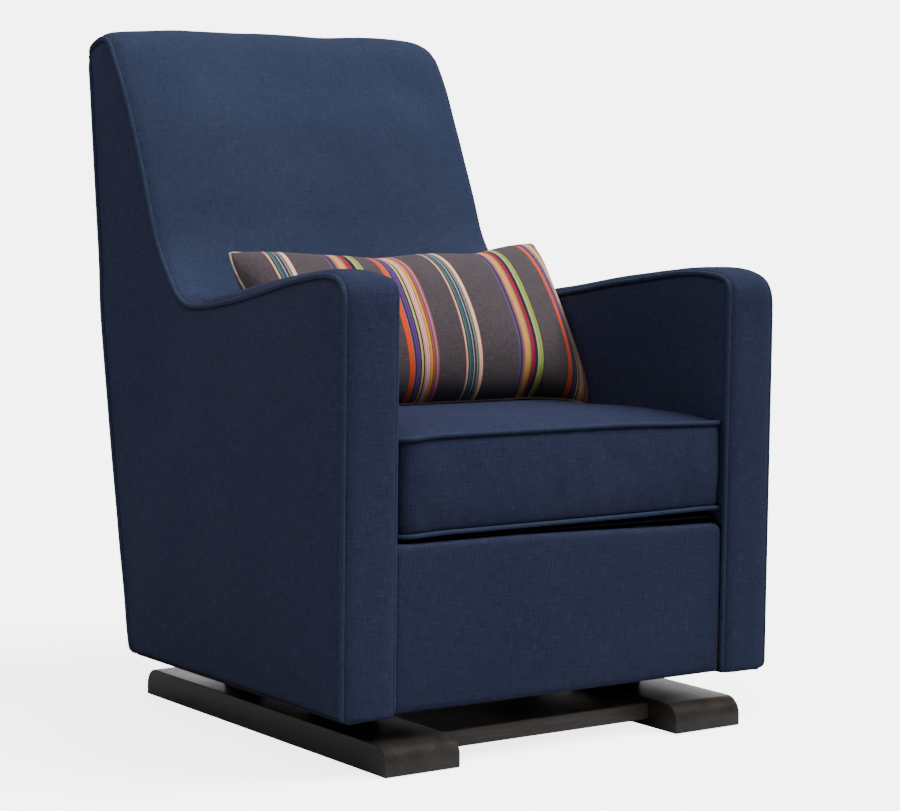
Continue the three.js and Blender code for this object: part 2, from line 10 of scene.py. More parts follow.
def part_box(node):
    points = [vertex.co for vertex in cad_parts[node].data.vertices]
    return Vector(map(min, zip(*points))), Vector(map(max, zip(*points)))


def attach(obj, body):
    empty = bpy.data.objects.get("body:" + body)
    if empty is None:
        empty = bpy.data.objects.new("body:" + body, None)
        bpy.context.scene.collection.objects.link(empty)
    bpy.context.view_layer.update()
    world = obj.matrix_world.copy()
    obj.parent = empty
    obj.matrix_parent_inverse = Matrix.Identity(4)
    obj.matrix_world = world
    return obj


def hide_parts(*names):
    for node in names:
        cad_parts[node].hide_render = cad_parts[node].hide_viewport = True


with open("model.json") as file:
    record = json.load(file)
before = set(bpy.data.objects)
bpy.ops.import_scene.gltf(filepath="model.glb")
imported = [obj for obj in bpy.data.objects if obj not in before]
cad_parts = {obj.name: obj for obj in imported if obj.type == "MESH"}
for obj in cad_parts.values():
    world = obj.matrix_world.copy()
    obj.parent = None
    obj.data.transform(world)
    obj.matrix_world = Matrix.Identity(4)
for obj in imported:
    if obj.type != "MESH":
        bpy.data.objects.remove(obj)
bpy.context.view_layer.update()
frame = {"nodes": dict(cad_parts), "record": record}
NODES = frame["nodes"]
scene = bpy.context.scene
MM = 0.001


# ------------------------------------------------------------------ curves and tables
def smooth_table(rows):
    """Monotone cubic through (x, y) rows, clamped outside."""
    x = np.array([r[0] for r in rows], float)
    y = np.array([r[1] for r in rows], float)
    h = np.diff(x)
    d = np.diff(y) / h
    m = np.zeros_like(y)
    m[0], m[-1] = d[0], d[-1]
    for i in range(1, len(x) - 1):
        if d[i - 1] * d[i] > 0:
            w1, w2 = 2 * h[i] + h[i - 1], h[i] + 2 * h[i - 1]
            m[i] = (w1 + w2) / (w1 / d[i - 1] + w2 / d[i])

    def f(v):
        v = np.asarray(v, float)
        q = np.clip(v, x[0], x[-1])
        i = np.clip(np.searchsorted(x, q) - 1, 0, len(h) - 1)
        t = (q - x[i]) / h[i]
        return ((2 * t**3 - 3 * t**2 + 1) * y[i] + (t**3 - 2 * t**2 + t) * h[i] * m[i]
                + (-2 * t**3 + 3 * t**2) * y[i + 1] + (t**3 - t**2) * h[i] * m[i + 1])

    return f


def spline(points, step, closed=False):
    """Centripetal Catmull-Rom through the points, resampled at about `step`."""
    p = np.array(points, float)
    if closed:
        p = np.vstack([p[-1], p, p[0], p[1]])
    else:
        p = np.vstack([2 * p[0] - p[1], p, 2 * p[-1] - p[-2]])
    out = []
    for i in range(1, len(p) - 2):
        a, b, c, d = p[i - 1], p[i], p[i + 1], p[i + 2]
        t = [0.0]
        for q, r in ((a, b), (b, c), (c, d)):
            t.append(t[-1] + max(np.linalg.norm(r - q), 1e-6) ** 0.5)
        n = max(2, int(np.linalg.norm(c - b) / step * 3) + 2)
        for s in np.linspace(t[1], t[2], n, endpoint=False):
            A1 = (t[1] - s) / (t[1] - t[0]) * a + (s - t[0]) / (t[1] - t[0]) * b
            A2 = (t[2] - s) / (t[2] - t[1]) * b + (s - t[1]) / (t[2] - t[1]) * c
            A3 = (t[3] - s) / (t[3] - t[2]) * c + (s - t[2]) / (t[3] - t[2]) * d
            B1 = (t[2] - s) / (t[2] - t[0]) * A1 + (s - t[0]) / (t[2] - t[0]) * A2
            B2 = (t[3] - s) / (t[3] - t[1]) * A2 + (s - t[1]) / (t[3] - t[1]) * A3
            out.append((t[2] - s) / (t[2] - t[1]) * B1 + (s - t[1]) / (t[2] - t[1]) * B2)
    out.append(p[-2])
    return resample(np.array(out), step)


def resample(p, step):
    p = np.asarray(p, float)
    s = np.concatenate([[0], np.cumsum(np.linalg.norm(np.diff(p, axis=0), axis=1))])
    n = max(2, int(round(s[-1] / step)) + 1)
    q = np.linspace(0, s[-1], n)
    return np.stack([np.interp(q, s, p[:, k]) for k in range(p.shape[1])], 1)


def arc(p):
    return np.concatenate([[0], np.cumsum(np.linalg.norm(np.diff(p, axis=0), axis=1))])


def smoothstep(a, b, v):
    t = np.clip((np.asarray(v, float) - a) / (b - a), 0, 1)
    return t * t * (3 - 2 * t)


# ------------------------------------------------------------------ the body's shape (mm)
FRONT, BOTTOM, HALF_W, TAPER = -409.0, 76.0, 362.0, 60.0
rear_y = smooth_table([(70, 156), (108, 173), (165, 193), (221, 215), (277, 235), (335, 256), (393, 276),
                       (451, 295), (510, 314), (570, 332), (630, 348), (691, 363), (752, 377), (813, 390),
                       (875, 402), (936, 413), (961, 419), (1000, 427)])
edge_y = smooth_table([(300, 28), (602, 122), (628, 155), (662, 191), (693, 208), (748, 230), (800, 254),
                       (856, 278), (904, 305), (945, 331), (978, 353)])


def side_x(y, z, sgn=0):
    y, z = np.asarray(y, float), np.asarray(z, float)
    u = np.clip((y - FRONT) / 600, 0, 1)
    v = np.clip((z - 77) / 560, 0, 1)
    s = 0.5 * v * v * (3 - 2 * v) + 0.5 * v
    base = HALF_W - TAPER * u * s
    t = np.clip((z - 77) / 884, 0, 1)
    rear = HALF_W - TAPER * (1 - (1 - t) ** 1.4)
    y1 = np.maximum(edge_y(z), -109)
    w = np.clip((y - y1) / np.maximum(rear_y(z) - y1, 1), 0, 1)
    r = 9.0  # the foot of the side is turned under in a small round
    k = np.clip(r - (z - BOTTOM), 0, r)
    high = smoothstep(600, 700, z) * (1 - 0.75 * smoothstep(860, 955, z))
    trim = np.where(np.asarray(sgn) > 0, 7.5 * high, 3.0 * smoothstep(560, 660, z))
    return base + (rear - base) * w * w - (r - np.sqrt(r * r - k * k)) - np.where(np.asarray(sgn) == 0, 0.0, trim)


def side_trim(y, z, t):
    """How far a grid that spans both sides has to come in at parameter t (-1 left, 1 right)."""
    t = np.asarray(t, float)
    r = float(side_x(y, z)) - float(side_x(y, z, 1))
    l = float(side_x(y, z)) - float(side_x(y, z, -1))
    return np.clip(t, 0, 1) ** 2 * r - np.clip(-t, 0, 1) ** 2 * l


def inner_x(y, z):
    u = np.clip((np.asarray(y, float) - FRONT) / 600, 0, 1)
    return 282.6 - 16 * u * np.clip((np.asarray(z, float) - 300) / 250, 0, 1)


# outer edge of the arm and of the back, from the foot of the front to the top of the back
EDGE_PTS = [(-409, 76), (-409, 160), (-409, 260), (-409, 360), (-409, 460), (-409, 550), (-408.6, 592),
            (-406.5, 617), (-400, 631), (-389, 639), (-371, 643.6), (-348, 644.4), (-308, 641), (-253, 633.4),
            (-189, 621.6), (-122, 609.4), (-54, 598.4), (0, 591.6), (36, 588.8), (64, 588.4), (84, 590.2),
            (104, 596.4), (124, 606), (155, 630), (174, 645.5), (191, 664), (208, 694), (230, 748), (254, 801),
            (279, 856), (305, 905), (331, 946), (346, 968)]
TOP_PTS = [(353, 976), (362, 981), (377, 982), (394, 977.5), (408, 970), (416, 961)]
EDGE = spline(EDGE_PTS + TOP_PTS, 4.0)
I_TOP = int(np.argmin(np.hypot(EDGE[:, 0] - 353, EDGE[:, 1] - 976)))
REAR = np.array([[float(rear_y(z)), z] for z in np.linspace(952, BOTTOM, 200)])


def lift(y):
    """How much higher the inner edge of an arm's top is than the outer one."""
    y = np.asarray(y, float)
    return (-1.0 + 3.1 * smoothstep(-330, -250, y) + 5.0 * smoothstep(-260, -130, y)) * (1 - smoothstep(10, 110, y))


# ------------------------------------------------------------------ mesh helpers
def mesh_object(name, verts_mm, faces, uvs=None, smooth=True):
    me = bpy.data.meshes.new(name)
    me.from_pydata((np.asarray(verts_mm, float) * MM).tolist(), [], [tuple(int(i) for i in f) for f in faces])
    me.validate()
    if smooth:
        me.shade_smooth()
    if uvs is not None:
        layer = me.uv_layers.new(name="cloth")
        vi = np.empty(len(me.loops), int)
        me.loops.foreach_get("vertex_index", vi)
        layer.data.foreach_set("uv", (np.asarray(uvs, float)[vi] * MM).ravel())
    o = bpy.data.objects.new(name, me)
    scene.collection.objects.link(o)
    return o


def grid_shell(name, P, UV, thick, flip=False):
    """Closed shell whose outer face is the grid P[i, j] and whose inner face lies `thick` mm below it."""
    nu, nv = P.shape[:2]
    du = np.gradient(P, axis=0)
    dv = np.gradient(P, axis=1)
    n = np.cross(du, dv)
    n /= np.maximum(np.linalg.norm(n, axis=2, keepdims=True), 1e-9)
    if flip:
        n = -n
    inner = P - n * thick
    V = np.vstack([P.reshape(-1, 3), inner.reshape(-1, 3)])
    U = np.vstack([UV.reshape(-1, 2)] * 2)
    F = []
    N = nu * nv
    at = lambda i, j: i * nv + j
    for i in range(nu - 1):
        for j in range(nv - 1):
            a, b, c, d = at(i, j), at(i + 1, j), at(i + 1, j + 1), at(i, j + 1)
            F.append((a, b, c, d) if not flip else (d, c, b, a))
            F.append((N + d, N + c, N + b, N + a) if not flip else (N + a, N + b, N + c, N + d))
    rim = [at(i, 0) for i in range(nu)] + [at(nu - 1, j) for j in range(1, nv)]
    rim += [at(i, nv - 1) for i in range(nu - 2, -1, -1)] + [at(0, j) for j in range(nv - 2, 0, -1)]
    for k in range(len(rim)):
        a, b = rim[k], rim[(k + 1) % len(rim)]
        F.append((b, a, N + a, N + b) if not flip else (a, b, N + b, N + a))
    return mesh_object(name, V, F, U)


def boundary_distance(pts, loop):
    a = loop
    b = np.roll(loop, -1, axis=0)
    d = b - a
    L = np.maximum((d * d).sum(1), 1e-12)
    best = np.full(len(pts), 1e9)
    for k in range(0, len(pts), 2000):
        p = pts[k:k + 2000, None, :]
        t = np.clip(((p - a) * d).sum(2) / L, 0, 1)
        q = a + t[..., None] * d
        best[k:k + 2000] = np.sqrt(((p - q) ** 2).sum(2)).min(1)
    return best


def inside(pts, loop):
    x, y = pts[:, 0], pts[:, 1]
    r = np.zeros(len(pts), bool)
    n = len(loop)
    for i in range(n):
        x1, y1 = loop[i]
        x2, y2 = loop[(i + 1) % n]
        if y1 == y2:
            continue
        c = (y1 > y) != (y2 > y)
        r ^= c & (x < (x2 - x1) * (y - y1) / (y2 - y1) + x1)
    return r


def panel(name, loop, to3d, height, step=13.0, thick=5.0, flip=False):
    """A closed padded panel over the outline `loop` (2D). to3d(q, h) places a point at height h above it."""
    loop = np.asarray(loop, float)
    area = 0.5 * np.sum(loop[:, 0] * np.roll(loop[:, 1], -1) - np.roll(loop[:, 0], -1) * loop[:, 1])
    if area < 0:
        loop = loop[::-1]
    t = np.roll(loop, -1, axis=0) - np.roll(loop, 1, axis=0)
    t /= np.maximum(np.linalg.norm(t, axis=1, keepdims=True), 1e-9)
    nin = np.stack([-t[:, 1], t[:, 0]], 1)
    pts = [loop]
    for d in (1.6, 3.4, 5.6, 8.6, 12.5):
        r = loop + nin * d
        keep = boundary_distance(r, loop) > d * 0.9
        keep &= inside(r, loop)
        k = 1 if d < 5 else 2
        sel = np.zeros(len(r), bool)
        sel[::k] = True
        pts.append(r[keep & sel])
    lo, hi = loop.min(0), loop.max(0)
    rows = np.arange(lo[1], hi[1], step * 0.866)
    g = []
    for i, yy in enumerate(rows):
        xs = np.arange(lo[0] + (step / 2 if i % 2 else 0), hi[0], step)
        g.append(np.stack([xs, np.full(len(xs), yy)], 1))
    g = np.vstack(g)
    g = g[inside(g, loop)]
    g = g[boundary_distance(g, loop) > 17]
    pts.append(g)
    Q = np.vstack(pts)
    n = len(loop)
    edges = [(i, (i + 1) % n) for i in range(n)]
    out = delaunay_2d_cdt([Vector((float(a), float(b))) for a, b in Q], edges, [], 1, 1e-4)
    Q2 = np.array([[v.x, v.y] for v in out[0]])
    tris = [tuple(f) for f in out[2]]
    cen = np.array([Q2[list(f)].mean(0) for f in tris])
    ok = inside(cen, loop)
    tris = [f for f, k in zip(tris, ok) if k]
    used = sorted({i for f in tris for i in f})
    remap = {o: i for i, o in enumerate(used)}
    Q2 = Q2[used]
    tris = [tuple(remap[i] for i in f) for f in tris]
    d = boundary_distance(Q2, loop)
    h = height(Q2, d)
    top = to3d(Q2, h)
    low = to3d(Q2, np.minimum(h, 0) - thick)
    N = len(Q2)
    F = []
    cnt = {}
    for f in tris:
        a, b, c = f
        F.append((a, b, c) if not flip else (c, b, a))
        F.append((N + c, N + b, N + a) if not flip else (N + a, N + b, N + c))
        for e in ((a, b), (b, c), (c, a)):
            cnt[e] = cnt.get(e, 0) + 1
    for (a, b) in list(cnt):
        if (b, a) not in cnt:
            F.append((b, a, N + a, N + b) if not flip else (a, b, N + b, N + a))
    return mesh_object(name, np.vstack([top, low]), F, np.vstack([Q2, Q2]))


def tube(name, path, r, sides=10, closed=False, squash=1.0, up=None):
    """A cord of radius r along the path, with rounded ends."""
    p = np.asarray(path, float)
    n = len(p)
    t = (np.roll(p, -1, axis=0) - np.roll(p, 1, axis=0)) if closed else np.gradient(p, axis=0)
    t /= np.maximum(np.linalg.norm(t, axis=1, keepdims=True), 1e-9)
    ref = np.array([1.0, 0, 0]) if up is None else np.array(up, float)
    u = ref - t[0] * (ref @ t[0])
    u /= np.linalg.norm(u)
    us = [u]
    for i in range(1, n):
        w = us[-1] - t[i] * (us[-1] @ t[i])
        us.append(w / max(np.linalg.norm(w), 1e-9))
    us = np.array(us)
    if closed:
        # spread the closing twist evenly
        w = np.cross(t[0], us[0])
        last = us[-1] - t[0] * (us[-1] @ t[0])
        last /= np.linalg.norm(last)
        a = math.atan2(last @ w, last @ us[0])
        for i in range(n):
            b = -a * i / n
            us[i] = us[i] * math.cos(b) + np.cross(t[i], us[i]) * math.sin(b)
    vs = np.cross(t, us)
    rr = np.full(n, r)
    if not closed:
        for k in range(min(3, n // 2)):
            f = math.sqrt(max(0.12, 1 - ((3 - k) / 3) ** 2))
            rr[k] *= f
            rr[n - 1 - k] *= f
    V, UV = [], []
    s = arc(p)
    for i in range(n):
        for k in range(sides):
            a = 2 * math.pi * k / sides
            V.append(p[i] + rr[i] * (us[i] * math.cos(a) + vs[i] * math.sin(a) * squash))
            UV.append((s[i], r * a))
    F = []
    m = n if closed else n - 1
    for i in range(m):
        for k in range(sides):
            a, b = i * sides + k, i * sides + (k + 1) % sides
            c, d = ((i + 1) % n) * sides + (k + 1) % sides, ((i + 1) % n) * sides + k
            F.append((a, d, c, b))
    if not closed:
        F.append(tuple(range(sides)))
        F.append(tuple(reversed(range((n - 1) * sides, n * sides))))
    o = mesh_object(name, V, F, UV)
    fix_normals(o)
    return o


def fix_normals(o):
    import bmesh
    bm = bmesh.new()
    bm.from_mesh(o.data)
    bmesh.ops.recalc_face_normals(bm, faces=bm.faces)
    bm.to_mesh(o.data)
    bm.free()


def seam_dip(d, puff, reach, dip=3.2, near=4.6):
    """Height of a padded panel at distance d from its seam."""
    return puff * (1 - np.exp(-(d / reach) ** 1.15)) - dip * np.exp(-(d / near) ** 2)


def ripple(a, b, amp, seed):
    """A smooth uneven surface from a few fixed waves."""
    rng = np.random.RandomState(seed)
    s = np.zeros(np.broadcast(a, b).shape)
    for _ in range(9):
        L = rng.uniform(70, 260)
        th = rng.uniform(0, 2 * math.pi)
        ph = rng.uniform(0, 2 * math.pi)
        s = s + np.sin((a * math.cos(th) + b * math.sin(th)) * 2 * math.pi / L + ph) * (L / 200)
    return amp * s / 3.0


# ------------------------------------------------------------------ materials
def nodes_of(name):
    m = bpy.data.materials.new(name)
    m.use_nodes = True
    nt = m.node_tree
    for n in list(nt.nodes):
        nt.nodes.remove(n)
    out = nt.nodes.new("ShaderNodeOutputMaterial")
    b = nt.nodes.new("ShaderNodeBsdfPrincipled")
    nt.links.new(b.outputs[0], out.inputs[0])
    return m, nt, b


def N(nt, kind, **kw):
    n = nt.nodes.new(kind)
    for k, v in kw.items():
        if k.startswith("i_"):
            n.inputs[k[2:].replace("_", " ")].default_value = v
        elif k.startswith("n_"):
            n.inputs[int(k[2:])].default_value = v
        else:
            setattr(n, k, v)
    return n


def ramp(nt, stops, interp="LINEAR"):
    r = nt.nodes.new("ShaderNodeValToRGB")
    cr = r.color_ramp
    cr.interpolation = interp
    while len(cr.elements) > 1:
        cr.elements.remove(cr.elements[-1])
    cr.elements[0].position = stops[0][0]
    cr.elements[0].color = stops[0][1]
    for p, c in stops[1:]:
        e = cr.elements.new(p)
        e.color = c
    return r


def mix(nt, a, b, fac, blend="MIX"):
    m = nt.nodes.new("ShaderNodeMix")
    m.data_type = "RGBA"
    m.blend_type = blend
    for sock, v in ((m.inputs[0], fac), (m.inputs[6], a), (m.inputs[7], b)):
        if isinstance(v, bpy.types.NodeSocket):
            nt.links.new(v, sock)
        else:
            sock.default_value = v
    return m.outputs[2]


def math_node(nt, op, a, b=None, c=None):
    m = nt.nodes.new("ShaderNodeMath")
    m.operation = op
    for sock, v in zip(m.inputs, (a, b, c)):
        if v is None:
            continue
        if isinstance(v, bpy.types.NodeSocket):
            nt.links.new(v, sock)
        else:
            sock.default_value = v
    return m.outputs[0]


def weave_nodes(nt, vec, pitch, slub, seed=0.0):
    """Plain weave with uneven yarns. Returns (height 0-1, slub tone 0-1)."""
    sep = N(nt, "ShaderNodeSeparateXYZ")
    nt.links.new(vec, sep.inputs[0])
    u, v = sep.outputs[0], sep.outputs[1]

    def stretched(su, sv, detail, off):
        mp = N(nt, "ShaderNodeMapping")
        mp.inputs["Scale"].default_value = (su, sv, 1)
        mp.inputs["Location"].default_value = (off, off * 0.37, seed)
        nt.links.new(vec, mp.inputs[0])
        t = N(nt, "ShaderNodeTexNoise", i_Scale=1.0, i_Detail=detail, i_Roughness=0.6)
        nt.links.new(mp.outputs[0], t.inputs["Vector"])
        return t.outputs[0]

    warp_tone = stretched(1 / (slub * 0.0013), 1 / (slub * 0.016), 2.0, 3.1)
    weft_tone = stretched(1 / (slub * 0.016), 1 / (slub * 0.0013), 2.0, 7.7)
    wob = stretched(90.0, 90.0, 2.0, 1.3)
    k = 2 * math.pi / pitch
    uu = math_node(nt, "MULTIPLY_ADD", wob, pitch * 0.7, u)
    vv = math_node(nt, "MULTIPLY_ADD", wob, pitch * 0.7, v)
    su = math_node(nt, "SINE", math_node(nt, "MULTIPLY", uu, k))
    sv = math_node(nt, "SINE", math_node(nt, "MULTIPLY", vv, k))
    over = math_node(nt, "MULTIPLY", su, sv)
    warp = math_node(nt, "ABSOLUTE", math_node(nt, "SINE", math_node(nt, "MULTIPLY", uu, k)))
    weft = math_node(nt, "ABSOLUTE", math_node(nt, "SINE", math_node(nt, "MULTIPLY", vv, k)))
    sel = math_node(nt, "GREATER_THAN", over, 0.0)
    inv = math_node(nt, "SUBTRACT", 1.0, sel)
    hgt = math_node(nt, "ADD", math_node(nt, "MULTIPLY", warp, sel), math_node(nt, "MULTIPLY", weft, inv))
    warp_long = stretched(1 / (slub * 0.0030), 1 / (slub * 0.030), 1.0, 11.9)
    weft_long = stretched(1 / (slub * 0.030), 1 / (slub * 0.0030), 1.0, 17.3)
    fine = math_node(nt, "MULTIPLY", math_node(nt, "ADD", warp_tone, weft_tone), 0.33)
    broad = math_node(nt, "MULTIPLY", math_node(nt, "ADD", warp_long, weft_long), 0.17)
    tone = math_node(nt, "ADD", fine, broad)
    return hgt, tone


def bump(nt, chain, bsdf):
    """chain: list of (height socket, strength, distance)."""
    prev = None
    for h, s, d in chain:
        b = N(nt, "ShaderNodeBump", i_Strength=s, i_Distance=d)
        nt.links.new(h, b.inputs["Height"])
        if prev is not None:
            nt.links.new(prev, b.inputs["Normal"])
        prev = b.outputs[0]
    nt.links.new(prev, bsdf.inputs["Normal"])


def linen(name, dark, mid, light, pitch=0.0016, slub=1.0, bias=False, rough=0.9, sheen=0.012, seed=0.0):
    m, nt, b = nodes_of(name)
    uv = N(nt, "ShaderNodeUVMap", uv_map="cloth")
    vec = uv.outputs[0]
    if bias:
        mp = N(nt, "ShaderNodeMapping")
        mp.inputs["Rotation"].default_value = (0, 0, math.radians(45))
        nt.links.new(vec, mp.inputs[0])
        vec = mp.outputs[0]
    hgt, tone = weave_nodes(nt, vec, pitch, slub, seed)
    cr = ramp(nt, [(0.37, dark), (0.475, mid), (0.525, mid), (0.63, light)])
    nt.links.new(tone, cr.inputs[0])
    obj = N(nt, "ShaderNodeTexCoord")
    big = N(nt, "ShaderNodeTexNoise", i_Scale=4.5, i_Detail=2.0, i_Roughness=0.5)
    nt.links.new(obj.outputs["Object"], big.inputs["Vector"])
    shade = ramp(nt, [(0.3, (0.90, 0.92, 0.95, 1)), (0.7, (1.08, 1.06, 1.04, 1))])
    nt.links.new(big.outputs[0], shade.inputs[0])
    c = mix(nt, cr.outputs[0], shade.outputs[0], 1.0, "MULTIPLY")
    # painted shade: the colour is darkened where the weave dips between the yarns
    yarn_gap_shade = ramp(nt, [(0.0, (0.74, 0.74, 0.76, 1)), (0.75, (1.06, 1.06, 1.06, 1))])
    nt.links.new(hgt, yarn_gap_shade.inputs[0])
    c = mix(nt, c, yarn_gap_shade.outputs[0], 1.0, "MULTIPLY")
    nt.links.new(c, b.inputs["Base Color"])
    r = math_node(nt, "MULTIPLY_ADD", tone, 0.14, rough - 0.07)
    nt.links.new(r, b.inputs["Roughness"])
    b.inputs["Sheen Weight"].default_value = sheen
    b.inputs["Sheen Roughness"].default_value = 0.5
    b.inputs["Sheen Tint"].default_value = (0.55, 0.68, 1.0, 1)
    b.inputs["Specular IOR Level"].default_value = 0.12
    bump(nt, [(tone, 0.35, 0.0012), (hgt, 0.5, 0.0005)], b)
    return m


def lin(r, g, b_):
    """sRGB 0-255 to a linear colour."""
    f = lambda c: (c / 255 / 12.92) if c / 255 <= 0.04045 else ((c / 255 + 0.055) / 1.055) ** 2.4
    return (f(r), f(g), f(b_), 1.0)


NAVY = linen("navy_linen", lin(25, 28, 44), lin(36, 40, 60), lin(47, 52, 76))
# lighter copy of the navy linen for the inside back: painted light, so the back reads brighter than the fronts under
# the same lamps
NAVY_BACK_LIT = linen("navy_linen_back_painted_lit", lin(30, 36, 51), lin(39, 46, 66), lin(48, 56, 78))
# the welts' navy is cut on the bias and made lighter than the navy linen: a painted highlight along the welt ridges
NAVY_WELT_LIT = linen("navy_welt_painted_lit", lin(30, 35, 50), lin(39, 47, 66), lin(50, 60, 83), bias=True, seed=4.0)


def solid_fabric(name, col, pitch=0.0011):
    return linen(name, tuple(c * 0.8 for c in col[:3]) + (1,), col, tuple(min(1, c * 1.2) for c in col[:3]) + (1,),
                 pitch=pitch, sheen=0.05)


def object_material(name, base, rough, metal, scale, stretch, contrast, bump_s, bump_d, coat=0.0):
    """Uneven surface for a hard piece, in object coordinates."""
    m, nt, b = nodes_of(name)
    tc = N(nt, "ShaderNodeTexCoord")
    mp = N(nt, "ShaderNodeMapping")
    mp.inputs["Scale"].default_value = stretch
    nt.links.new(tc.outputs["Object"], mp.inputs[0])
    t = N(nt, "ShaderNodeTexNoise", i_Scale=scale, i_Detail=5.0, i_Roughness=0.6)
    nt.links.new(mp.outputs[0], t.inputs["Vector"])
    lo = tuple(c * (1 - contrast) for c in base[:3]) + (1,)
    hi = tuple(min(1, c * (1 + contrast)) for c in base[:3]) + (1,)
    cr = ramp(nt, [(0.3, lo), (0.7, hi)])
    nt.links.new(t.outputs[0], cr.inputs[0])
    nt.links.new(cr.outputs[0], b.inputs["Base Color"])
    r = math_node(nt, "MULTIPLY_ADD", t.outputs[0], 0.2, rough - 0.1)
    nt.links.new(r, b.inputs["Roughness"])
    b.inputs["Metallic"].default_value = metal
    if coat:
        b.inputs["Coat Weight"].default_value = coat
        b.inputs["Coat Roughness"].default_value = 0.16
    bump(nt, [(t.outputs[0], bump_s, bump_d)], b)
    return m


def wood_material(name, dark, mid, light, rough, coat, axis=1, rings=26.0):
    """Straight-grained timber, the grain along the given object axis."""
    m, nt, b = nodes_of(name)
    tc = N(nt, "ShaderNodeTexCoord")
    mp = N(nt, "ShaderNodeMapping")
    sc = [1.0, 1.0, 1.0]
    sc[axis] = 0.045
    mp.inputs["Scale"].default_value = sc
    nt.links.new(tc.outputs["Object"], mp.inputs[0])
    warp = N(nt, "ShaderNodeTexNoise", i_Scale=6.0, i_Detail=2.0)
    nt.links.new(mp.outputs[0], warp.inputs["Vector"])
    add = N(nt, "ShaderNodeVectorMath", operation="MULTIPLY_ADD")
    nt.links.new(warp.outputs[1], add.inputs[0])
    add.inputs[1].default_value = (0.05, 0.05, 0.05)
    nt.links.new(mp.outputs[0], add.inputs[2])
    g = N(nt, "ShaderNodeTexNoise", i_Scale=rings * 10, i_Detail=6.0, i_Roughness=0.65)
    nt.links.new(add.outputs[0], g.inputs["Vector"])
    g2 = N(nt, "ShaderNodeTexNoise", i_Scale=rings * 1.6, i_Detail=3.0, i_Roughness=0.5)
    nt.links.new(add.outputs[0], g2.inputs["Vector"])
    both = math_node(nt, "ADD", math_node(nt, "MULTIPLY", g.outputs[0], 0.55), math_node(nt, "MULTIPLY", g2.outputs[0], 0.45))
    cr = ramp(nt, [(0.36, dark), (0.5, mid), (0.64, light)])
    nt.links.new(both, cr.inputs[0])
    nt.links.new(cr.outputs[0], b.inputs["Base Color"])
    r = math_node(nt, "MULTIPLY_ADD", g.outputs[0], 0.22, rough - 0.11)
    nt.links.new(r, b.inputs["Roughness"])
    if coat:
        b.inputs["Coat Weight"].default_value = coat
        b.inputs["Coat Roughness"].default_value = 0.22
    bump(nt, [(g.outputs[0], 0.12, 0.0006)], b)
    return m


ESPRESSO_Y = wood_material("espresso_skid", lin(24, 21, 18), lin(34, 30, 27), lin(45, 40, 36), 0.40, 0.0, axis=1)
# the crossbars' espresso is a much lighter copy of the skids' wood: painted light on boards that sit in the chair's
# shadow
ESPRESSO_X_LIT = wood_material("espresso_crossbar_painted_lit", lin(48, 43, 38), lin(64, 57, 51), lin(82, 74, 66), 0.45, 0.0, axis=0)
BIRCH_Y = wood_material("birch_boards", lin(176, 142, 98), lin(198, 166, 120), lin(214, 184, 140), 0.6, 0.0, axis=1)
BIRCH_X = wood_material("birch_rails", lin(170, 136, 94), lin(194, 160, 114), lin(210, 180, 136), 0.6, 0.0, axis=0)
BLACK_STEEL = object_material("black_steel", lin(30, 30, 31), 0.42, 0.6, 240, (1, 1, 1), 0.25, 0.2, 0.0004)
ZINC = object_material("zinc_link", lin(168, 170, 172), 0.36, 1.0, 90, (1, 1, 0.12), 0.18, 0.1, 0.0003)
PIN = object_material("pin_steel", lin(150, 152, 154), 0.3, 1.0, 120, (0.2, 1, 1), 0.15, 0.08, 0.0002)
SPRING = object_material("spring_steel", lin(120, 121, 124), 0.4, 1.0, 200, (1, 1, 1), 0.2, 0.1, 0.0002)
RUBBER = object_material("black_rubber", lin(26, 26, 27), 0.75, 0.0, 500, (1, 1, 1), 0.2, 0.3, 0.0004)
FELT = object_material("black_felt", lin(28, 28, 29), 0.95, 0.0, 900, (1, 1, 1), 0.35, 0.8, 0.001)


def cambric_material():
    m, nt, b = nodes_of("black_cambric")
    tc = N(nt, "ShaderNodeTexCoord")
    hgt, tone = weave_nodes(nt, tc.outputs["Object"], 0.0014, 1.0)
    cr = ramp(nt, [(0.35, lin(16, 16, 17)), (0.65, lin(34, 34, 36))])
    nt.links.new(tone, cr.inputs[0])
    nt.links.new(cr.outputs[0], b.inputs["Base Color"])
    b.inputs["Roughness"].default_value = 0.93
    bump(nt, [(hgt, 0.5, 0.0005), (tone, 0.3, 0.0008)], b)
    return m


CAMBRIC = cambric_material()
SLOT_MATERIAL = {"timber": BIRCH_X, "bracket_steel": BLACK_STEEL, "link_steel": ZINC, "pin_steel": PIN,
                 "spring_steel": SPRING, "felt": FELT, "rubber": RUBBER, "cambric": CAMBRIC, "skid_wood": ESPRESSO_Y,
                 "upholstery": NAVY, "outer_back": NAVY, "cushion": NAVY, "pillow": NAVY}
for sp in frame["record"]["subparts"]:
    o = NODES[sp["node"]]
    mat = SLOT_MATERIAL[sp["material_slot"]]
    if sp["node"].startswith("side_board"):
        mat = BIRCH_Y
    if sp["node"].startswith("crossbar"):
        # lighter espresso copy, painted light on the shaded crossbars
        mat = ESPRESSO_X_LIT
    if sp["node"] in ("front_rail", "seat_front_rail"):
        mat = NAVY  # the rail behind the front panel is wrapped in the same cloth
    o.data.materials.clear()
    o.data.materials.append(mat)


def finish_piece(o, mat, body="chair", replaces=()):
    o.data.materials.clear()
    o.data.materials.append(mat)
    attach(o, body)
    if replaces:
        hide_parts(*replaces)
    return o


SIDES = (("left", -1), ("right", 1))


# ------------------------------------------------------------------ the arms
def edge_x(p, sgn, off=0.0):
    return sgn * (side_x(p[:, 0], p[:, 1], sgn) + off)


LOOP_SIDE = np.vstack([EDGE, REAR, np.stack([np.linspace(float(rear_y(BOTTOM)), FRONT, 120)[1:-1],
                                             np.full(118, BOTTOM)], 1)])
ARM_RUN = [p for p in EDGE_PTS if p[0] <= 64.5]
STRIP = spline(ARM_RUN + [p for p in EDGE_PTS if 64.5 < p[0] < 180], 6.0)


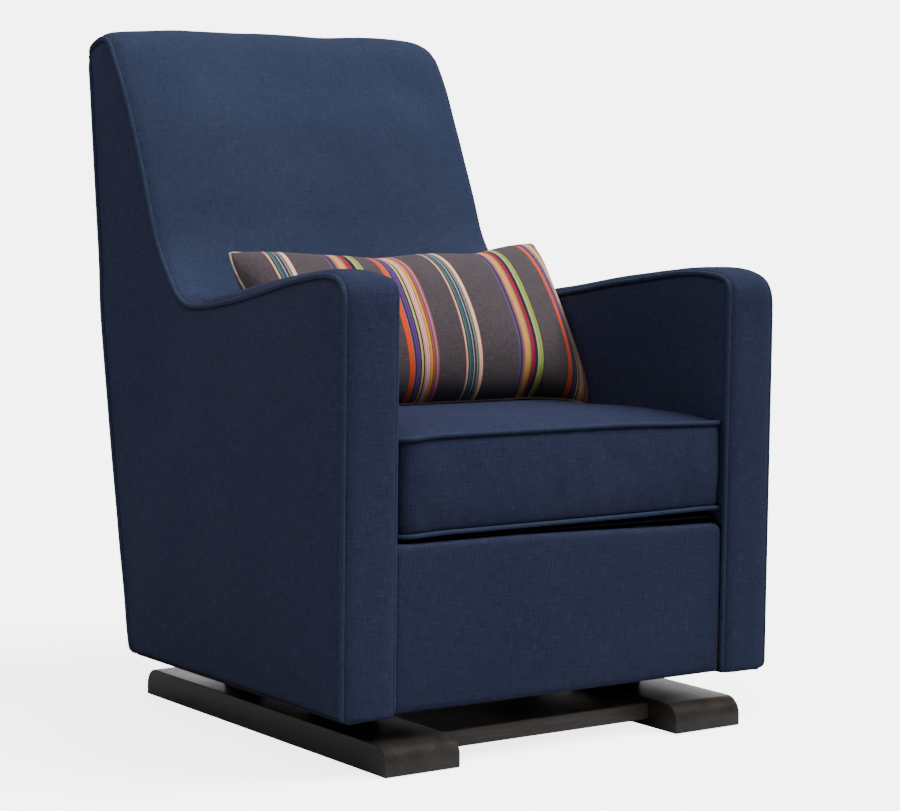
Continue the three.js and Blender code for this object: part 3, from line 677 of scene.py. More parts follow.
_front = spline([(-409, 76), (-409, 200), (-409, 350), (-409, 500), (-409, 598), (-408.7, 618), (-406.6, 629.5), (-400, 636.2),
                 (-389, 639.6), (-371, 642), (-348, 643.6), (-308, 642), (-253, 635.5)], 3.0)
_n = int(np.argmax(STRIP[:, 0] > -253))
_f = resample(_front, arc(_front)[-1] / 2000)
_k = np.linspace(0, len(_f) - 1, _n).astype(int)
STRIP_IN = np.stack([STRIP[:, 0], STRIP[:, 1] + lift(STRIP[:, 0])], 1)
_blend = smoothstep(-300, -255, STRIP[:_n, 0])[:, None]
STRIP_IN[:_n] = _f[_k] * (1 - _blend) + STRIP_IN[:_n] * _blend


_run = spline(ARM_RUN + [(84, 588.6), (110, 590.5), (140, 594), (170, 598)], 6.0)
_in = _run[_run[:, 0] > -252]
INNER_EDGE = np.vstack([_f[::3], np.stack([_in[:, 0], _in[:, 1] + lift(_in[:, 0])], 1)])
INNER_EDGE = resample(INNER_EDGE, 5.0)


def side_panel(side, sgn):
    def to3d(q, h):
        return np.stack([sgn * (side_x(q[:, 0], q[:, 1], sgn) + h), q[:, 0], q[:, 1]], 1)

    def height(q, d):
        return seam_dip(d, 3.0, 30, 3.4, 4.6) + ripple(q[:, 0], q[:, 1], 0.7, 3 if sgn < 0 else 8) * smoothstep(0, 40, d)

    o = panel(f"outer_side_{side}", LOOP_SIDE, to3d, height, step=13, thick=5, flip=(sgn < 0))
    return finish_piece(o, NAVY, replaces=(f"arm_{side}",))


def arm_strip(side, sgn):
    p = STRIP
    s = arc(p)
    t = np.gradient(p, axis=0)
    t /= np.linalg.norm(t, axis=1, keepdims=True)
    nrm = np.stack([-t[:, 1], t[:, 0]], 1)  # outward: forward on the front, up on the top
    cols = np.concatenate([[0, .02, .045, .08, .13], np.linspace(.2, .8, 9), [.87, .92, .955, .98, 1]])
    top = smoothstep(-0.2, 0.9, nrm[:, 1])
    P = np.zeros((len(p), len(cols), 3))
    UV = np.zeros((len(p), len(cols), 2))
    xo, xi = side_x(p[:, 0], p[:, 1], sgn) - 1.0, inner_x(p[:, 0], p[:, 1]) + 0.6
    q = STRIP_IN
    thin = smoothstep(-300, -160, p[:, 0])
    fade = 1 - smoothstep(-20, 78, p[:, 0])
    for j, c in enumerate(cols):
        shape = (1 - abs(2 * c - 1) ** 3.5)
        crown = (4.0 + 1.0 * top + 4.5 * thin) * shape * fade + ripple(s, c * 70, 0.5, 21) * shape * fade
        dip = 2.8 * (math.exp(-(c / .055) ** 2) + math.exp(-((1 - c) / .055) ** 2))
        h = crown - dip
        x = xo + (xi - xo) * c
        P[:, j, 0] = sgn * x
        P[:, j, 1] = p[:, 0] + (q[:, 0] - p[:, 0]) * c + nrm[:, 0] * h
        P[:, j, 2] = p[:, 1] + (q[:, 1] - p[:, 1]) * c + nrm[:, 1] * h
        UV[:, j, 0] = (xi - xo) * c
        UV[:, j, 1] = s
    o = grid_shell(f"arm_strip_{side}", P, UV, 4.0, flip=(sgn > 0))
    return finish_piece(o, NAVY, replaces=(f"arm_{side}",))


def inner_arm(side, sgn):
    e = INNER_EDGE[(INNER_EDGE[:, 1] > 286) & (INNER_EDGE[:, 0] < 160)]
    e = spline(e[::3], 6.0)
    low = np.array([[e[-1, 0], z] for z in np.linspace(e[-1, 1], 286, 40)[1:]])
    bot = np.array([[y, 286.0] for y in np.linspace(low[-1, 0], e[0, 0], 70)[1:-1]])
    loop = np.vstack([e, low, bot])

    def to3d(q, h):
        return np.stack([sgn * (inner_x(q[:, 0], q[:, 1]) - h), q[:, 0], q[:, 1]], 1)

    def height(q, d):
        return seam_dip(d, 5.5, 26, 2.8, 4.6) + ripple(q[:, 0], q[:, 1], 0.8, 5 if sgn < 0 else 12) * smoothstep(0, 40, d)

    o = panel(f"inner_arm_{side}", loop, to3d, height, step=14, thick=5, flip=(sgn > 0))
    return finish_piece(o, NAVY, replaces=(f"arm_{side}",))


def arm_underside(side, sgn):
    ys = np.linspace(FRONT + 3, 150, 60)
    xs = np.linspace(0, 1, 8)
    P = np.zeros((len(ys), len(xs), 3))
    UV = np.zeros((len(ys), len(xs), 2))
    for i, y in enumerate(ys):
        xi, xo = 283.0, float(side_x(y, 78)) - 2
        for j, u in enumerate(xs):
            P[i, j] = (sgn * (xi + (xo - xi) * u), y, 77.4 + 0.5 * math.sin(y * 0.05) * math.sin(math.pi * u))
            UV[i, j] = ((xo - xi) * u, y)
    o = grid_shell(f"arm_underside_{side}", P, UV, 2.0, flip=(sgn > 0))
    fix_normals(o)
    finish_piece(o, CAMBRIC, replaces=(f"arm_{side}",))
    ys = np.linspace(-387, 150, 50)
    zs = np.linspace(78, 290, 22)
    P = np.array([[[sgn * (282.8 + 1.2 * math.sin(y * .02 + z * .03)), y, z] for z in zs] for y in ys])
    UV = np.array([[[y, z] for z in zs] for y in ys], float)
    o = grid_shell(f"arm_lower_wall_{side}", P, UV, 2.5, flip=(sgn > 0))
    fix_normals(o)
    finish_piece(o, CAMBRIC, replaces=(f"arm_{side}",))


WELT_R = 3.7
for side, sgn in SIDES:
    side_panel(side, sgn)
    arm_strip(side, sgn)
    inner_arm(side, sgn)
    arm_underside(side, sgn)
    path = np.column_stack([edge_x(EDGE, sgn, 0.0), EDGE])
    finish_piece(tube(f"welt_outer_{side}", resample(path, 4.5), WELT_R), NAVY_WELT_LIT)
    rear = resample(np.column_stack([edge_x(REAR, sgn, -1.2), REAR]), 6.0)
    finish_piece(tube(f"welt_rear_{side}", rear, WELT_R), NAVY_WELT_LIT)
    run = INNER_EDGE[INNER_EDGE[:, 0] < 58]
    tail = spline([tuple(run[-1]), (72, 588), (86, 581), (95, 570), (98, 556)], 4.0)[1:]
    q = np.vstack([run, tail])
    path = np.column_stack([sgn * (inner_x(q[:, 0], q[:, 1]) + 0.2), q])
    finish_piece(tube(f"welt_inner_{side}", resample(path, 4.5), WELT_R), NAVY_WELT_LIT)


# ------------------------------------------------------------------ the back
BACK_FACE = [(10, 304), (20, 350), (27, 400), (37, 450), (58, 500), (88, 550), (125, 600), (160, 650), (190, 700),
             (212, 748), (236, 800), (260, 856), (289, 904), (319, 945), (340, 970), (355, 982), (375, 988),
             (396, 984), (409, 968)]
CENTRE = spline(BACK_FACE, 5.0)


def cut_at(curve, z):
    """Index of the first point of a rising curve at or above z."""
    return int(np.argmax(curve[:, 1] >= z))


Z_SPLIT = 597.0
low_z = np.linspace(300, 584, 36)
c_low = CENTRE[:cut_at(CENTRE, Z_SPLIT)]
c_lowy = np.interp(low_z, c_low[:, 1], c_low[:, 0])
c_up = CENTRE[cut_at(CENTRE, Z_SPLIT):]
ie = int(np.argmax((EDGE[:, 0] > 60) & (EDGE[:, 1] >= Z_SPLIT)))
e_up = EDGE[ie:]
NR = 100
c_up = resample(c_up, arc(c_up)[-1] / NR)[:NR + 1]
e_up = resample(e_up, arc(e_up)[-1] / NR)[:NR + 1]
NRW = min(len(c_up), len(e_up))
c_up, e_up = c_up[:NRW], e_up[:NRW]


def back_row(k):
    """(half width, centre point, edge point) of row k of the inside back."""
    if k < len(low_z):
        z = low_z[k]
        ye = float(edge_y(z)) + 2
        return float(inner_x(ye, z)) + 5, (c_lowy[k], z), (ye, z)
    k -= len(low_z)
    e = e_up[k]
    w = float(side_x(e[0], e[1])) - 1.5
    return w, tuple(c_up[k]), tuple(e)


def inside_back():
    t = np.concatenate([np.linspace(-1, -.86, 12), np.linspace(-.86, .86, 59)[1:-1], np.linspace(.86, 1, 12)])
    rows = [back_row(k) for k in range(len(low_z))]
    # the wings of the back spread out over the rear ends of the arms
    w0, c0, e0 = rows[-1]
    w1, c1, e1 = back_row(len(low_z))
    for f, g in ((.35, .0), (.7, .12), (.86, .6), (.94, .9)):
        rows.append((w0 + (w1 - w0) * g, tuple(np.array(c0) + (np.array(c1) - np.array(c0)) * f),
                     tuple(np.array(e0) + (np.array(e1) - np.array(e0)) * f)))
    rows += [back_row(k) for k in range(len(low_z), len(low_z) + NRW)]
    P = np.zeros((len(rows), len(t), 3))
    UV = np.zeros((len(rows), len(t), 2))
    run = 0.0
    prev = None
    C = np.array([r[1] for r in rows])
    T = np.gradient(C, axis=0)
    T /= np.maximum(np.linalg.norm(T, axis=1, keepdims=True), 1e-9)
    NRM = np.stack([-T[:, 1], T[:, 0]], 1)  # out of the padding: forward, then up over the top
    for i, (w, c, e) in enumerate(rows):
        c, e = np.array(c, float), np.array(e, float)
        run += 0 if prev is None else float(np.linalg.norm(c - prev))
        prev = c
        a = np.abs(t)
        hi = float(smoothstep(905, 965, c[1]))
        g = (0.38 * a ** 2.6 + 0.62 * a ** 7) * (1 - hi) + a ** 14 * hi
        roll = 1 - float(smoothstep(392, 409, c[0]))
        pos = c[None, :] * (1 - g[:, None]) + e[None, :] * g[:, None]
        up = (9.5 + 3.0 * t + 3.5 * smoothstep(0.2, 0.9, t) - 3.5 * smoothstep(0.5, 0.95, -t)) * (1 - g)
        pos = pos + np.array([0.1, 1.0])[None, :] * (up * hi * roll)[:, None]
        d = (1 - a) * w
        soft = smoothstep(0, 45, d)
        h = ripple(t * w, np.full(len(t), run), 1.1, 33) * soft - (3.2 + 1.6 * smoothstep(0.5, 0.9, -t)) * np.exp(-(d / (4.6 + 2.4 * smoothstep(0.5, 0.9, -t))) ** 2)
        full = float(smoothstep(600, 800, c[1])) * (1 - float(smoothstep(800, 965, c[1])))
        h = h + 8.0 * full * (1 - smoothstep(0.56, 1.0, -t)) * (1 - smoothstep(0.62, 1.0, t))
        pos = pos + NRM[i][None, :] * h[:, None]
        P[i, :, 0] = t * w - side_trim(e[0], e[1], t)
        P[i, :, 1:] = pos
        UV[i, :, 0] = t * w
        UV[i, :, 1] = run
    o = grid_shell("inside_back", P, UV, 6.0, flip=False)
    fix_normals(o)
    # the inside back takes the lighter navy copy, which paints light on it
    finish_piece(o, NAVY_BACK_LIT, replaces=("back_upholstery",))
    return P


BACK_P = inside_back()


def outer_back():
    t = np.concatenate([np.linspace(-1, -.9, 7), np.linspace(-.9, .9, 33)[1:-1], np.linspace(.9, 1, 7)])
    zz = np.linspace(BOTTOM + 0.5, 958, 84)
    P = np.zeros((len(zz) + 1, len(t), 3))
    UV = np.zeros((len(zz) + 1, len(t), 2))
    a = np.abs(t)
    for i, z in enumerate(zz):
        y = float(rear_y(z))
        w = float(side_x(y, z)) - 1.5
        d = np.minimum((1 - a) * w, min(z - BOTTOM, 961 - z) + 4)
        h = 4.5 * (1 - a ** 4) * (1 - abs(2 * (z - BOTTOM) / 885 - 1) ** 4) - 2.0 * np.exp(-(d / 4) ** 2)
        h = h + ripple(t * w, np.full(len(t), z), 0.8, 41) * smoothstep(0, 40, d)
        P[i] = np.stack([t * w - side_trim(y, z, t), y + h, np.full(len(t), z)], 1)
        UV[i] = np.stack([t * w, np.full(len(t), z)], 1)
    g = 0.35 * a ** 3 + 0.65 * a ** 7
    w = float(side_x(416, 961)) - 1.5
    P[-1] = np.stack([t * w - side_trim(416, 961, t), 411 + 5 * g, 967.5 - 6.5 * g], 1)
    UV[-1] = np.stack([t * w, np.full(len(t), 967.0)], 1)
    o = grid_shell("outer_back", P, UV, 4.0, flip=True)
    fix_normals(o)
    finish_piece(o, NAVY, replaces=("outer_back_panel",))
    path = P[-1][:, :].copy()
    path[:, 1] += 1.0
    finish_piece(tube("welt_back_top", resample(path[1:-1], 5.0), WELT_R, up=(0, 0, 1)), NAVY_WELT_LIT)


outer_back()


def front_panel():
    w, z0, z1, r = 282.0, 76.6, 300.0, 15.0
    pts = [(x, z0) for x in np.linspace(-w, w, 90)]
    pts += [(w, z) for z in np.linspace(z0, z1 - r, 40)[1:]]
    pts += [(w - r + r * math.cos(a), z1 - r + r * math.sin(a)) for a in np.linspace(0, math.pi / 2, 8)[1:]]
    pts += [(x, z1) for x in np.linspace(w - r, -w + r, 80)[1:]]
    pts += [(-w + r + r * math.cos(a), z1 - r + r * math.sin(a)) for a in np.linspace(math.pi / 2, math.pi, 8)[1:]]
    pts += [(-w, z) for z in np.linspace(z1 - r, z0, 40)[1:-1]]

    def to3d(q, h):
        drop = (2.0 + 7.0 * smoothstep(-120, 270, q[:, 0])) * smoothstep(180, 290, q[:, 1])
        return np.stack([q[:, 0], FRONT + 2 - h, q[:, 1] - drop], 1)

    def height(q, d):
        k = 7.0
        roll = k - np.sqrt(np.maximum(k * k - np.maximum(k - d, 0) ** 2, 0))
        return 3.0 * (1 - np.exp(-d / 30)) - roll + ripple(q[:, 0], q[:, 1], 0.6, 51) * smoothstep(0, 30, d)

    o = panel("front_upholstery", pts, to3d, height, step=13, thick=14, flip=False)
    fix_normals(o)
    finish_piece(o, NAVY, replaces=("front_panel",))


front_panel()


def deck():
    ys = np.linspace(-384, 26, 40)
    xs = np.linspace(-1, 1, 50)
    P = np.array([[[x * (float(inner_x(y, 300)) - 1), y, 299.5 + 0.9 * math.cos(x * 1.4) * math.cos((y + 180) * .006)]
                   for x in xs] for y in ys])
    UV = P[:, :, :2].copy()
    o = grid_shell("deck_cloth", P, UV, 3.0, flip=True)
    fix_normals(o)
    finish_piece(o, NAVY, replaces=("seat_deck",))


deck()


# ------------------------------------------------------------------ wooden base
def bar(name, outline, axis, lo, hi, bevel, mat, node):
    """A timber bar: the outline (two coordinates) carried along an axis from lo to hi, with its edges rounded."""
    import bmesh
    bm = bmesh.new()
    vs = []
    for a, b in outline:
        vs.append(bm.verts.new(((lo, a, b) if axis == 0 else (a, b, lo))))
    f = bm.faces.new(vs)
    r = bmesh.ops.extrude_face_region(bm, geom=[f])
    new = [g for g in r["geom"] if isinstance(g, bmesh.types.BMVert)]
    for v in new:
        if axis == 0:
            v.co.x = hi
        else:
            v.co.z = hi
    bmesh.ops.recalc_face_normals(bm, faces=bm.faces)
    sharp = [e for e in bm.edges if len(e.link_faces) == 2 and e.calc_face_angle() > math.radians(40)]
    bmesh.ops.bevel(bm, geom=sharp, offset=bevel, segments=4, profile=0.5, affect="EDGES")
    for v in bm.verts:
        v.co *= MM
    me = bpy.data.meshes.new(name)
    bm.to_mesh(me)
    bm.free()
    me.shade_smooth()
    me.set_sharp_from_angle(angle=math.radians(38))
    o = bpy.data.objects.new(name, me)
    scene.collection.objects.link(o)
    return finish_piece(o, mat, body="base", replaces=(node,))


def skid_outline():
    y0, y1, z0, z1 = -426.0, 216.0, 0.7, 40.8
    R, r = 25.0, 2.0
    pts = [(y0 + r, z0), (y1 - r, z0)]
    for a in np.linspace(-math.pi / 2, 0, 4)[1:]:
        pts.append((y1 - r + r * math.cos(a), z0 + r + r * math.sin(a)))
    for a in np.linspace(0, math.pi / 2, 12):
        pts.append((y1 - R + R * math.cos(a), z1 - R + R * math.sin(a)))
    for a in np.linspace(math.pi / 2, math.pi, 12):
        pts.append((y0 + R + R * math.cos(a), z1 - R + R * math.sin(a)))
    for a in np.linspace(math.pi, 1.5 * math.pi, 4)[:-1]:
        pts.append((y0 + r + r * math.cos(a), z0 + r + r * math.sin(a)))
    return pts


for side, sgn in SIDES:
    x0, x1 = sorted((sgn * 186.0, sgn * 304.5))
    bar(f"skid_bar_{side}", skid_outline(), 0, x0, x1, 1.7, ESPRESSO_Y, f"skid_{side}")
for end, y0, y1 in (("front", -366.0, -26.0), ("rear", 112.0, 204.0)):
    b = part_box(f"crossbar_{end}")
    x0, x1 = b[0][0] / MM, b[1][0] / MM
    z0, z1 = b[0][2] / MM, b[1][2] / MM
    # the boards take the lighter espresso copy, painted light against the chair's shadow
    bar(f"crossbar_board_{end}", [(y0, z0), (y1, z0), (y1, z1), (y0, z1)], 0, x0, x1, 2.5, ESPRESSO_X_LIT, f"crossbar_{end}")


# ------------------------------------------------------------------ cushions
def cloth_settle(o, pins, pressure, frames, tension=12.0, shear=4.0, bend=0.6, shrink=0.0, goal=0.7):
    """Lets the cover settle under the pressure of its filling, then keeps that shape."""
    vg = o.vertex_groups.new(name="pin")
    for i, w in pins:
        vg.add([int(i)], float(w), "REPLACE")
    md = o.modifiers.new("Cloth", "CLOTH")
    s = md.settings
    s.quality = 6
    s.mass = 0.25
    s.air_damping = 2.0
    s.tension_stiffness = tension
    s.compression_stiffness = tension
    s.shear_stiffness = shear
    s.bending_stiffness = bend
    s.tension_damping = 12
    s.compression_damping = 12
    s.shear_damping = 8
    s.bending_damping = 2
    s.use_pressure = True
    s.uniform_pressure_force = pressure
    s.use_pressure_volume = False
    s.shrink_min = shrink
    s.vertex_group_mass = "pin"
    s.pin_stiffness = goal
    s.effector_weights.gravity = 0.0
    md.collision_settings.use_collision = False
    md.collision_settings.use_self_collision = False
    md.point_cache.frame_start = 1
    md.point_cache.frame_end = frames
    scene.frame_start, scene.frame_end = 1, frames
    for f in range(1, frames + 1):
        scene.frame_set(f)
    dg = bpy.context.evaluated_depsgraph_get()
    ev = o.evaluated_get(dg)
    co = np.empty(len(ev.data.vertices) * 3)
    ev.data.vertices.foreach_get("co", co)
    o.modifiers.remove(md)
    scene.frame_set(1)
    return co.reshape(-1, 3) / MM


def coords(o):
    co = np.empty(len(o.data.vertices) * 3)
    o.data.vertices.foreach_get("co", co)
    return co.reshape(-1, 3) / MM


def put_coords(o, co):
    o.data.vertices.foreach_set("co", (np.asarray(co, float) * MM).ravel())
    o.data.update()


def subdivided(o, levels=1):
    md = o.modifiers.new("Sub", "SUBSURF")
    md.levels = md.render_levels = levels
    md.boundary_smooth = "PRESERVE_CORNERS"
    dg = bpy.context.evaluated_depsgraph_get()
    me = bpy.data.meshes.new_from_object(o.evaluated_get(dg))
    o.modifiers.remove(md)
    old = o.data
    o.data = me
    me.shade_smooth()
    bpy.data.meshes.remove(old)


C_HALF, C_TAPER, C_Y0, C_Y1, C_MID = 277.0, 14.0, -402.0, 4.0, 6.0
C_Z0, C_Z1, C_TOP, C_BOTTOM = 311.0, 437.0, 452.0, 303.0


def cushion_loop(step=12.0, r=16.0):
    def hw(y):
        return C_HALF - C_TAPER * (y - C_Y0) / (C_Y1 - C_Y0)
    pts = []
    for cx, cy, a0 in ((1, C_Y0, -90), (1, C_Y1, 0), (-1, C_Y1, 90), (-1, C_Y0, 180)):
        w = hw(cy)
        r = 26.0 if cx < 0 and cy == C_Y0 else 12.0
        ox = cx * (w - r)
        oy = cy + r if cy == C_Y0 else cy - r
        for a in np.linspace(a0, a0 + 90, 7):
            pts.append((ox + r * math.cos(math.radians(a)), oy + r * math.sin(math.radians(a))))
    p = np.array(pts + [pts[0]], float)
    q = resample(p, step)
    q[:, 0] += C_MID
    return q[:-1]


def flat_fill(loop, step):
    """Points and triangles filling a closed loop; the loop's points come first."""
    lo, hi = loop.min(0), loop.max(0)
    g = []
    ny = int((hi[1] - lo[1]) / step)
    for i in range(1, ny):
        yy = lo[1] + (hi[1] - lo[1]) * i / ny
        xs = np.arange(lo[0] + (step / 2 if i % 2 else 0), hi[0], step)
        g.append(np.stack([xs, np.full(len(xs), yy)], 1))
    g = np.vstack(g)
    g = g[inside(g, loop)]
    g = g[boundary_distance(g, loop) > step * 0.62]
    Q = np.vstack([loop, g])
    n = len(loop)
    out = delaunay_2d_cdt([Vector((float(a), float(b))) for a, b in Q], [(i, (i + 1) % n) for i in range(n)], [], 1, 1e-5)
    Q2 = np.array([[v.x, v.y] for v in out[0]])
    assert len(Q2) == len(Q) and np.allclose(Q2, Q, atol=1e-3)
    tris = [tuple(f) for f in out[2]]
    cen = np.array([Q2[list(f)].mean(0) for f in tris])
    ok = inside(cen, loop)
    return Q2, [f for f, k in zip(tris, ok) if k]


def seat_cushion():
    step = 13.0
    loop = cushion_loop(step)
    Q, T = flat_fill(loop, step)
    n, m = len(loop), len(Q)
    V, UV, F = [], [], []
    d = boundary_distance(Q, loop)
    d[:n] = 0
    zt = C_Z1 + 9.5 * (1 - np.exp(-(d / 34) ** 1.1))
    zb = C_Z0 - 7.0 * (1 - np.exp(-d / 14))
    V += [(q[0], q[1], z) for q, z in zip(Q, zt)]
    V += [(q[0], q[1], z) for q, z in zip(Q, zb)]
    F += [tuple(f) for f in T]
    F += [(m + f[2], m + f[1], m + f[0]) for f in T]
    rows = 8
    ids = [list(range(m, m + n))]
    for k in range(1, rows):
        z = C_Z0 + (C_Z1 - C_Z0) * k / rows
        bulge = 3.0 * math.sin(math.pi * k / rows)
        t = np.roll(loop, -1, axis=0) - np.roll(loop, 1, axis=0)
        t /= np.linalg.norm(t, axis=1, keepdims=True)
        o = np.stack([t[:, 1], -t[:, 0]], 1)
        ids.append(list(range(len(V), len(V) + n)))
        V += [(q[0] + w[0] * bulge, q[1] + w[1] * bulge, z) for q, w in zip(loop, o)]
    ids.append(list(range(0, n)))
    for k in range(rows):
        for i in range(n):
            j = (i + 1) % n
            F.append((ids[k][i], ids[k][j], ids[k + 1][j], ids[k + 1][i]))
    o = mesh_object("seat_cushion_cover", V, F)
    fix_normals(o)
    rest = coords(o)
    V0 = rest.copy()
    pins = [(i, 0.85) for i in ids[-1]] + [(i, 0.95) for i in ids[0]]
    sim = cloth_settle(o, pins, 3.0, 18, tension=14, shear=4.5, bend=1.2, shrink=-0.006)
    move = sim - rest
    print("CUSHION_SIM_MOVE", move.min(0), move.max(0), "crown", sim[:m, 2].max())
    # keep inside the arms and off the deck, crown at a set height
    cap = np.array([3.0, 5.0, 6.0])
    move = cap * np.tanh(move / cap)
    co = V0 + move
    isb = np.zeros(len(V), bool)
    isb[m:m + m] = True
    # it sits a little lower at its front left corner and is lifted at the front right one
    fr = 1 - smoothstep(-402, -250, V0[:, 1])
    low = 1 - smoothstep(C_Z0, C_Z1, V0[:, 2])
    side = V0[:, 0] / C_HALF
    co[:, 2] += fr * (0.35 + 0.65 * low) * (1.5 * side + 1.5 * smoothstep(0.35, 1.0, side) - 2.0 * smoothstep(0.7, 1.0, -side))
    high = smoothstep(C_Z0, C_Z1, V0[:, 2])
    co[:, 2] -= fr * high * (4.5 * smoothstep(0.3, 1.0, side) + 4.0 * smoothstep(0.75, 1.0, -side))
    co[:, 2] -= high * 3.5 * smoothstep(-290, -150, V0[:, 1])
    co[:, 2] = np.maximum(co[:, 2], C_BOTTOM - 1.0)
    # uv: top and bottom from above, boxing unrolled
    UVv = np.stack([V0[:, 0], V0[:, 1]], 1)
    put_coords(o, co)
    me = o.data
    layer = me.uv_layers.new(name="cloth")
    s = np.concatenate([[0], np.cumsum(np.linalg.norm(np.roll(loop, -1, axis=0) - loop, axis=1))])
    rowof = {}
    for k, r in enumerate(ids):
        for i, v in enumerate(r):
            rowof.setdefault(v, []).append((k, i))
    uv = np.zeros((len(me.loops), 2))
    for p in me.polygons:
        vs = list(p.vertices)
        if len(vs) == 3:
            for li, v in zip(p.loop_indices, vs):
                uv[li] = UVv[v]
        else:
            idx = [[e for e in rowof[v]] for v in vs]
            cols = [e[0][1] for e in idx]
            wrap = 0 in cols and n - 1 in cols
            for li, v in zip(p.loop_indices, vs):
                k, i = rowof[v][0]
                uv[li] = (s[i] + (s[-1] if wrap and i == 0 else 0), 600 + V0[v, 2])
    layer.data.foreach_set("uv", (uv * MM).ravel())
    top_loop = co[ids[-1]]
    bot_loop = co[ids[0]]
    subdivided(o, 1)
    finish_piece(o, NAVY, body="seat_cushion", replaces=("seat_cushion",))
    for nm, lp, dz in (("top", top_loop, 0.6), ("bottom", bot_loop, -0.6)):
        q = lp.copy()
        c = q.mean(0)
        out = q[:, :2] - c[:2]
        out /= np.linalg.norm(out, axis=1, keepdims=True)
        q[:, :2] += out * 0.8
        q[:, 2] += dz
        q = resample(np.vstack([q, q[:1]]), 6.0)[:-1]
        finish_piece(tube(f"cushion_welt_{nm}", q, 3.2, closed=True, up=(0, 0, 1)), NAVY_WELT_LIT, body="seat_cushion")
    return o


CUSHION_OBJ = seat_cushion()


# ------------------------------------------------------------------ lumbar pillow
P_W, P_H, P_LEAN = 545.0, 272.0, 35.7
STRIPE = {
    "g": lin(62, 54, 58), "d": lin(36, 30, 36), "k": lin(22, 19, 28), "or": lin(226, 86, 44), "lg": lin(132, 120, 128),
    "pu": lin(104, 62, 140), "yg": lin(190, 208, 120), "pk": lin(232, 142, 152), "cr": lin(246, 226, 200),
    "go": lin(220, 168, 82), "rb": lin(142, 98, 88), "te": lin(44, 92, 98), "li": lin(196, 176, 206), "ma": lin(84, 30, 56),
    "gg": lin(132, 136, 114), "pe": lin(246, 206, 188), "haze": lin(92, 74, 116), "dp": lin(190, 120, 118),
    "ye": lin(226, 164, 72), "cm": lin(158, 24, 58), "sg": lin(186, 194, 150), "gr": lin(152, 170, 66), "pi": lin(238, 160, 132),
}
# (colour, width in mm) runs of one repeat of each group
GROUP_A = [("or", 8.5), ("lg", 1.6), ("d", 3.0), ("pu", 3.0), ("d", 1.0), ("pu", 3.0), ("k", 2.4), ("yg", 3.4), ("k", 2.6), ("pk", 3.4),
           ("cr", 1.6), ("pk", 2.4), ("cr", 1.4), ("rb", 1.6), ("go", 4.6), ("k", 1.2), ("or", 1.4), ("rb", 1.8), ("pu", 1.6), ("rb", 1.6),
           ("pk", 1.6), ("rb", 3.0)]
GROUP_B = [("pi", 2.0), ("cr", 1.2), ("k", 2.8), ("gg", 1.2), ("te", 4.6), ("k", 1.2), ("te", 1.2), ("li", 1.4), ("ma", 1.6), ("k", 2.0),
           ("gg", 3.2), ("k", 0.8), ("gg", 1.6), ("pe", 3.6), ("cr", 2.2), ("or", 1.2)]
GROUP_C = [("haze", 4.0), ("d", 3.2), ("haze", 1.4), ("rb", 2.6), ("dp", 3.0), ("pi", 1.6), ("go", 3.0), ("ye", 4.2), ("gg", 2.6), ("rb", 1.2),
           ("cm", 7.0), ("ma", 1.4), ("k", 5.8), ("sg", 2.2), ("gg", 1.2), ("sg", 2.2), ("k", 0.8), ("gr", 5.6), ("d", 1.6)]
# centre of each group across the pillow, as a fraction of its width from the left
GROUPS = [(GROUP_B, 0.138), (GROUP_C, 0.292), (GROUP_A, 0.416), (GROUP_B, 0.557), (GROUP_C, 0.732), (GROUP_A, 0.900)]


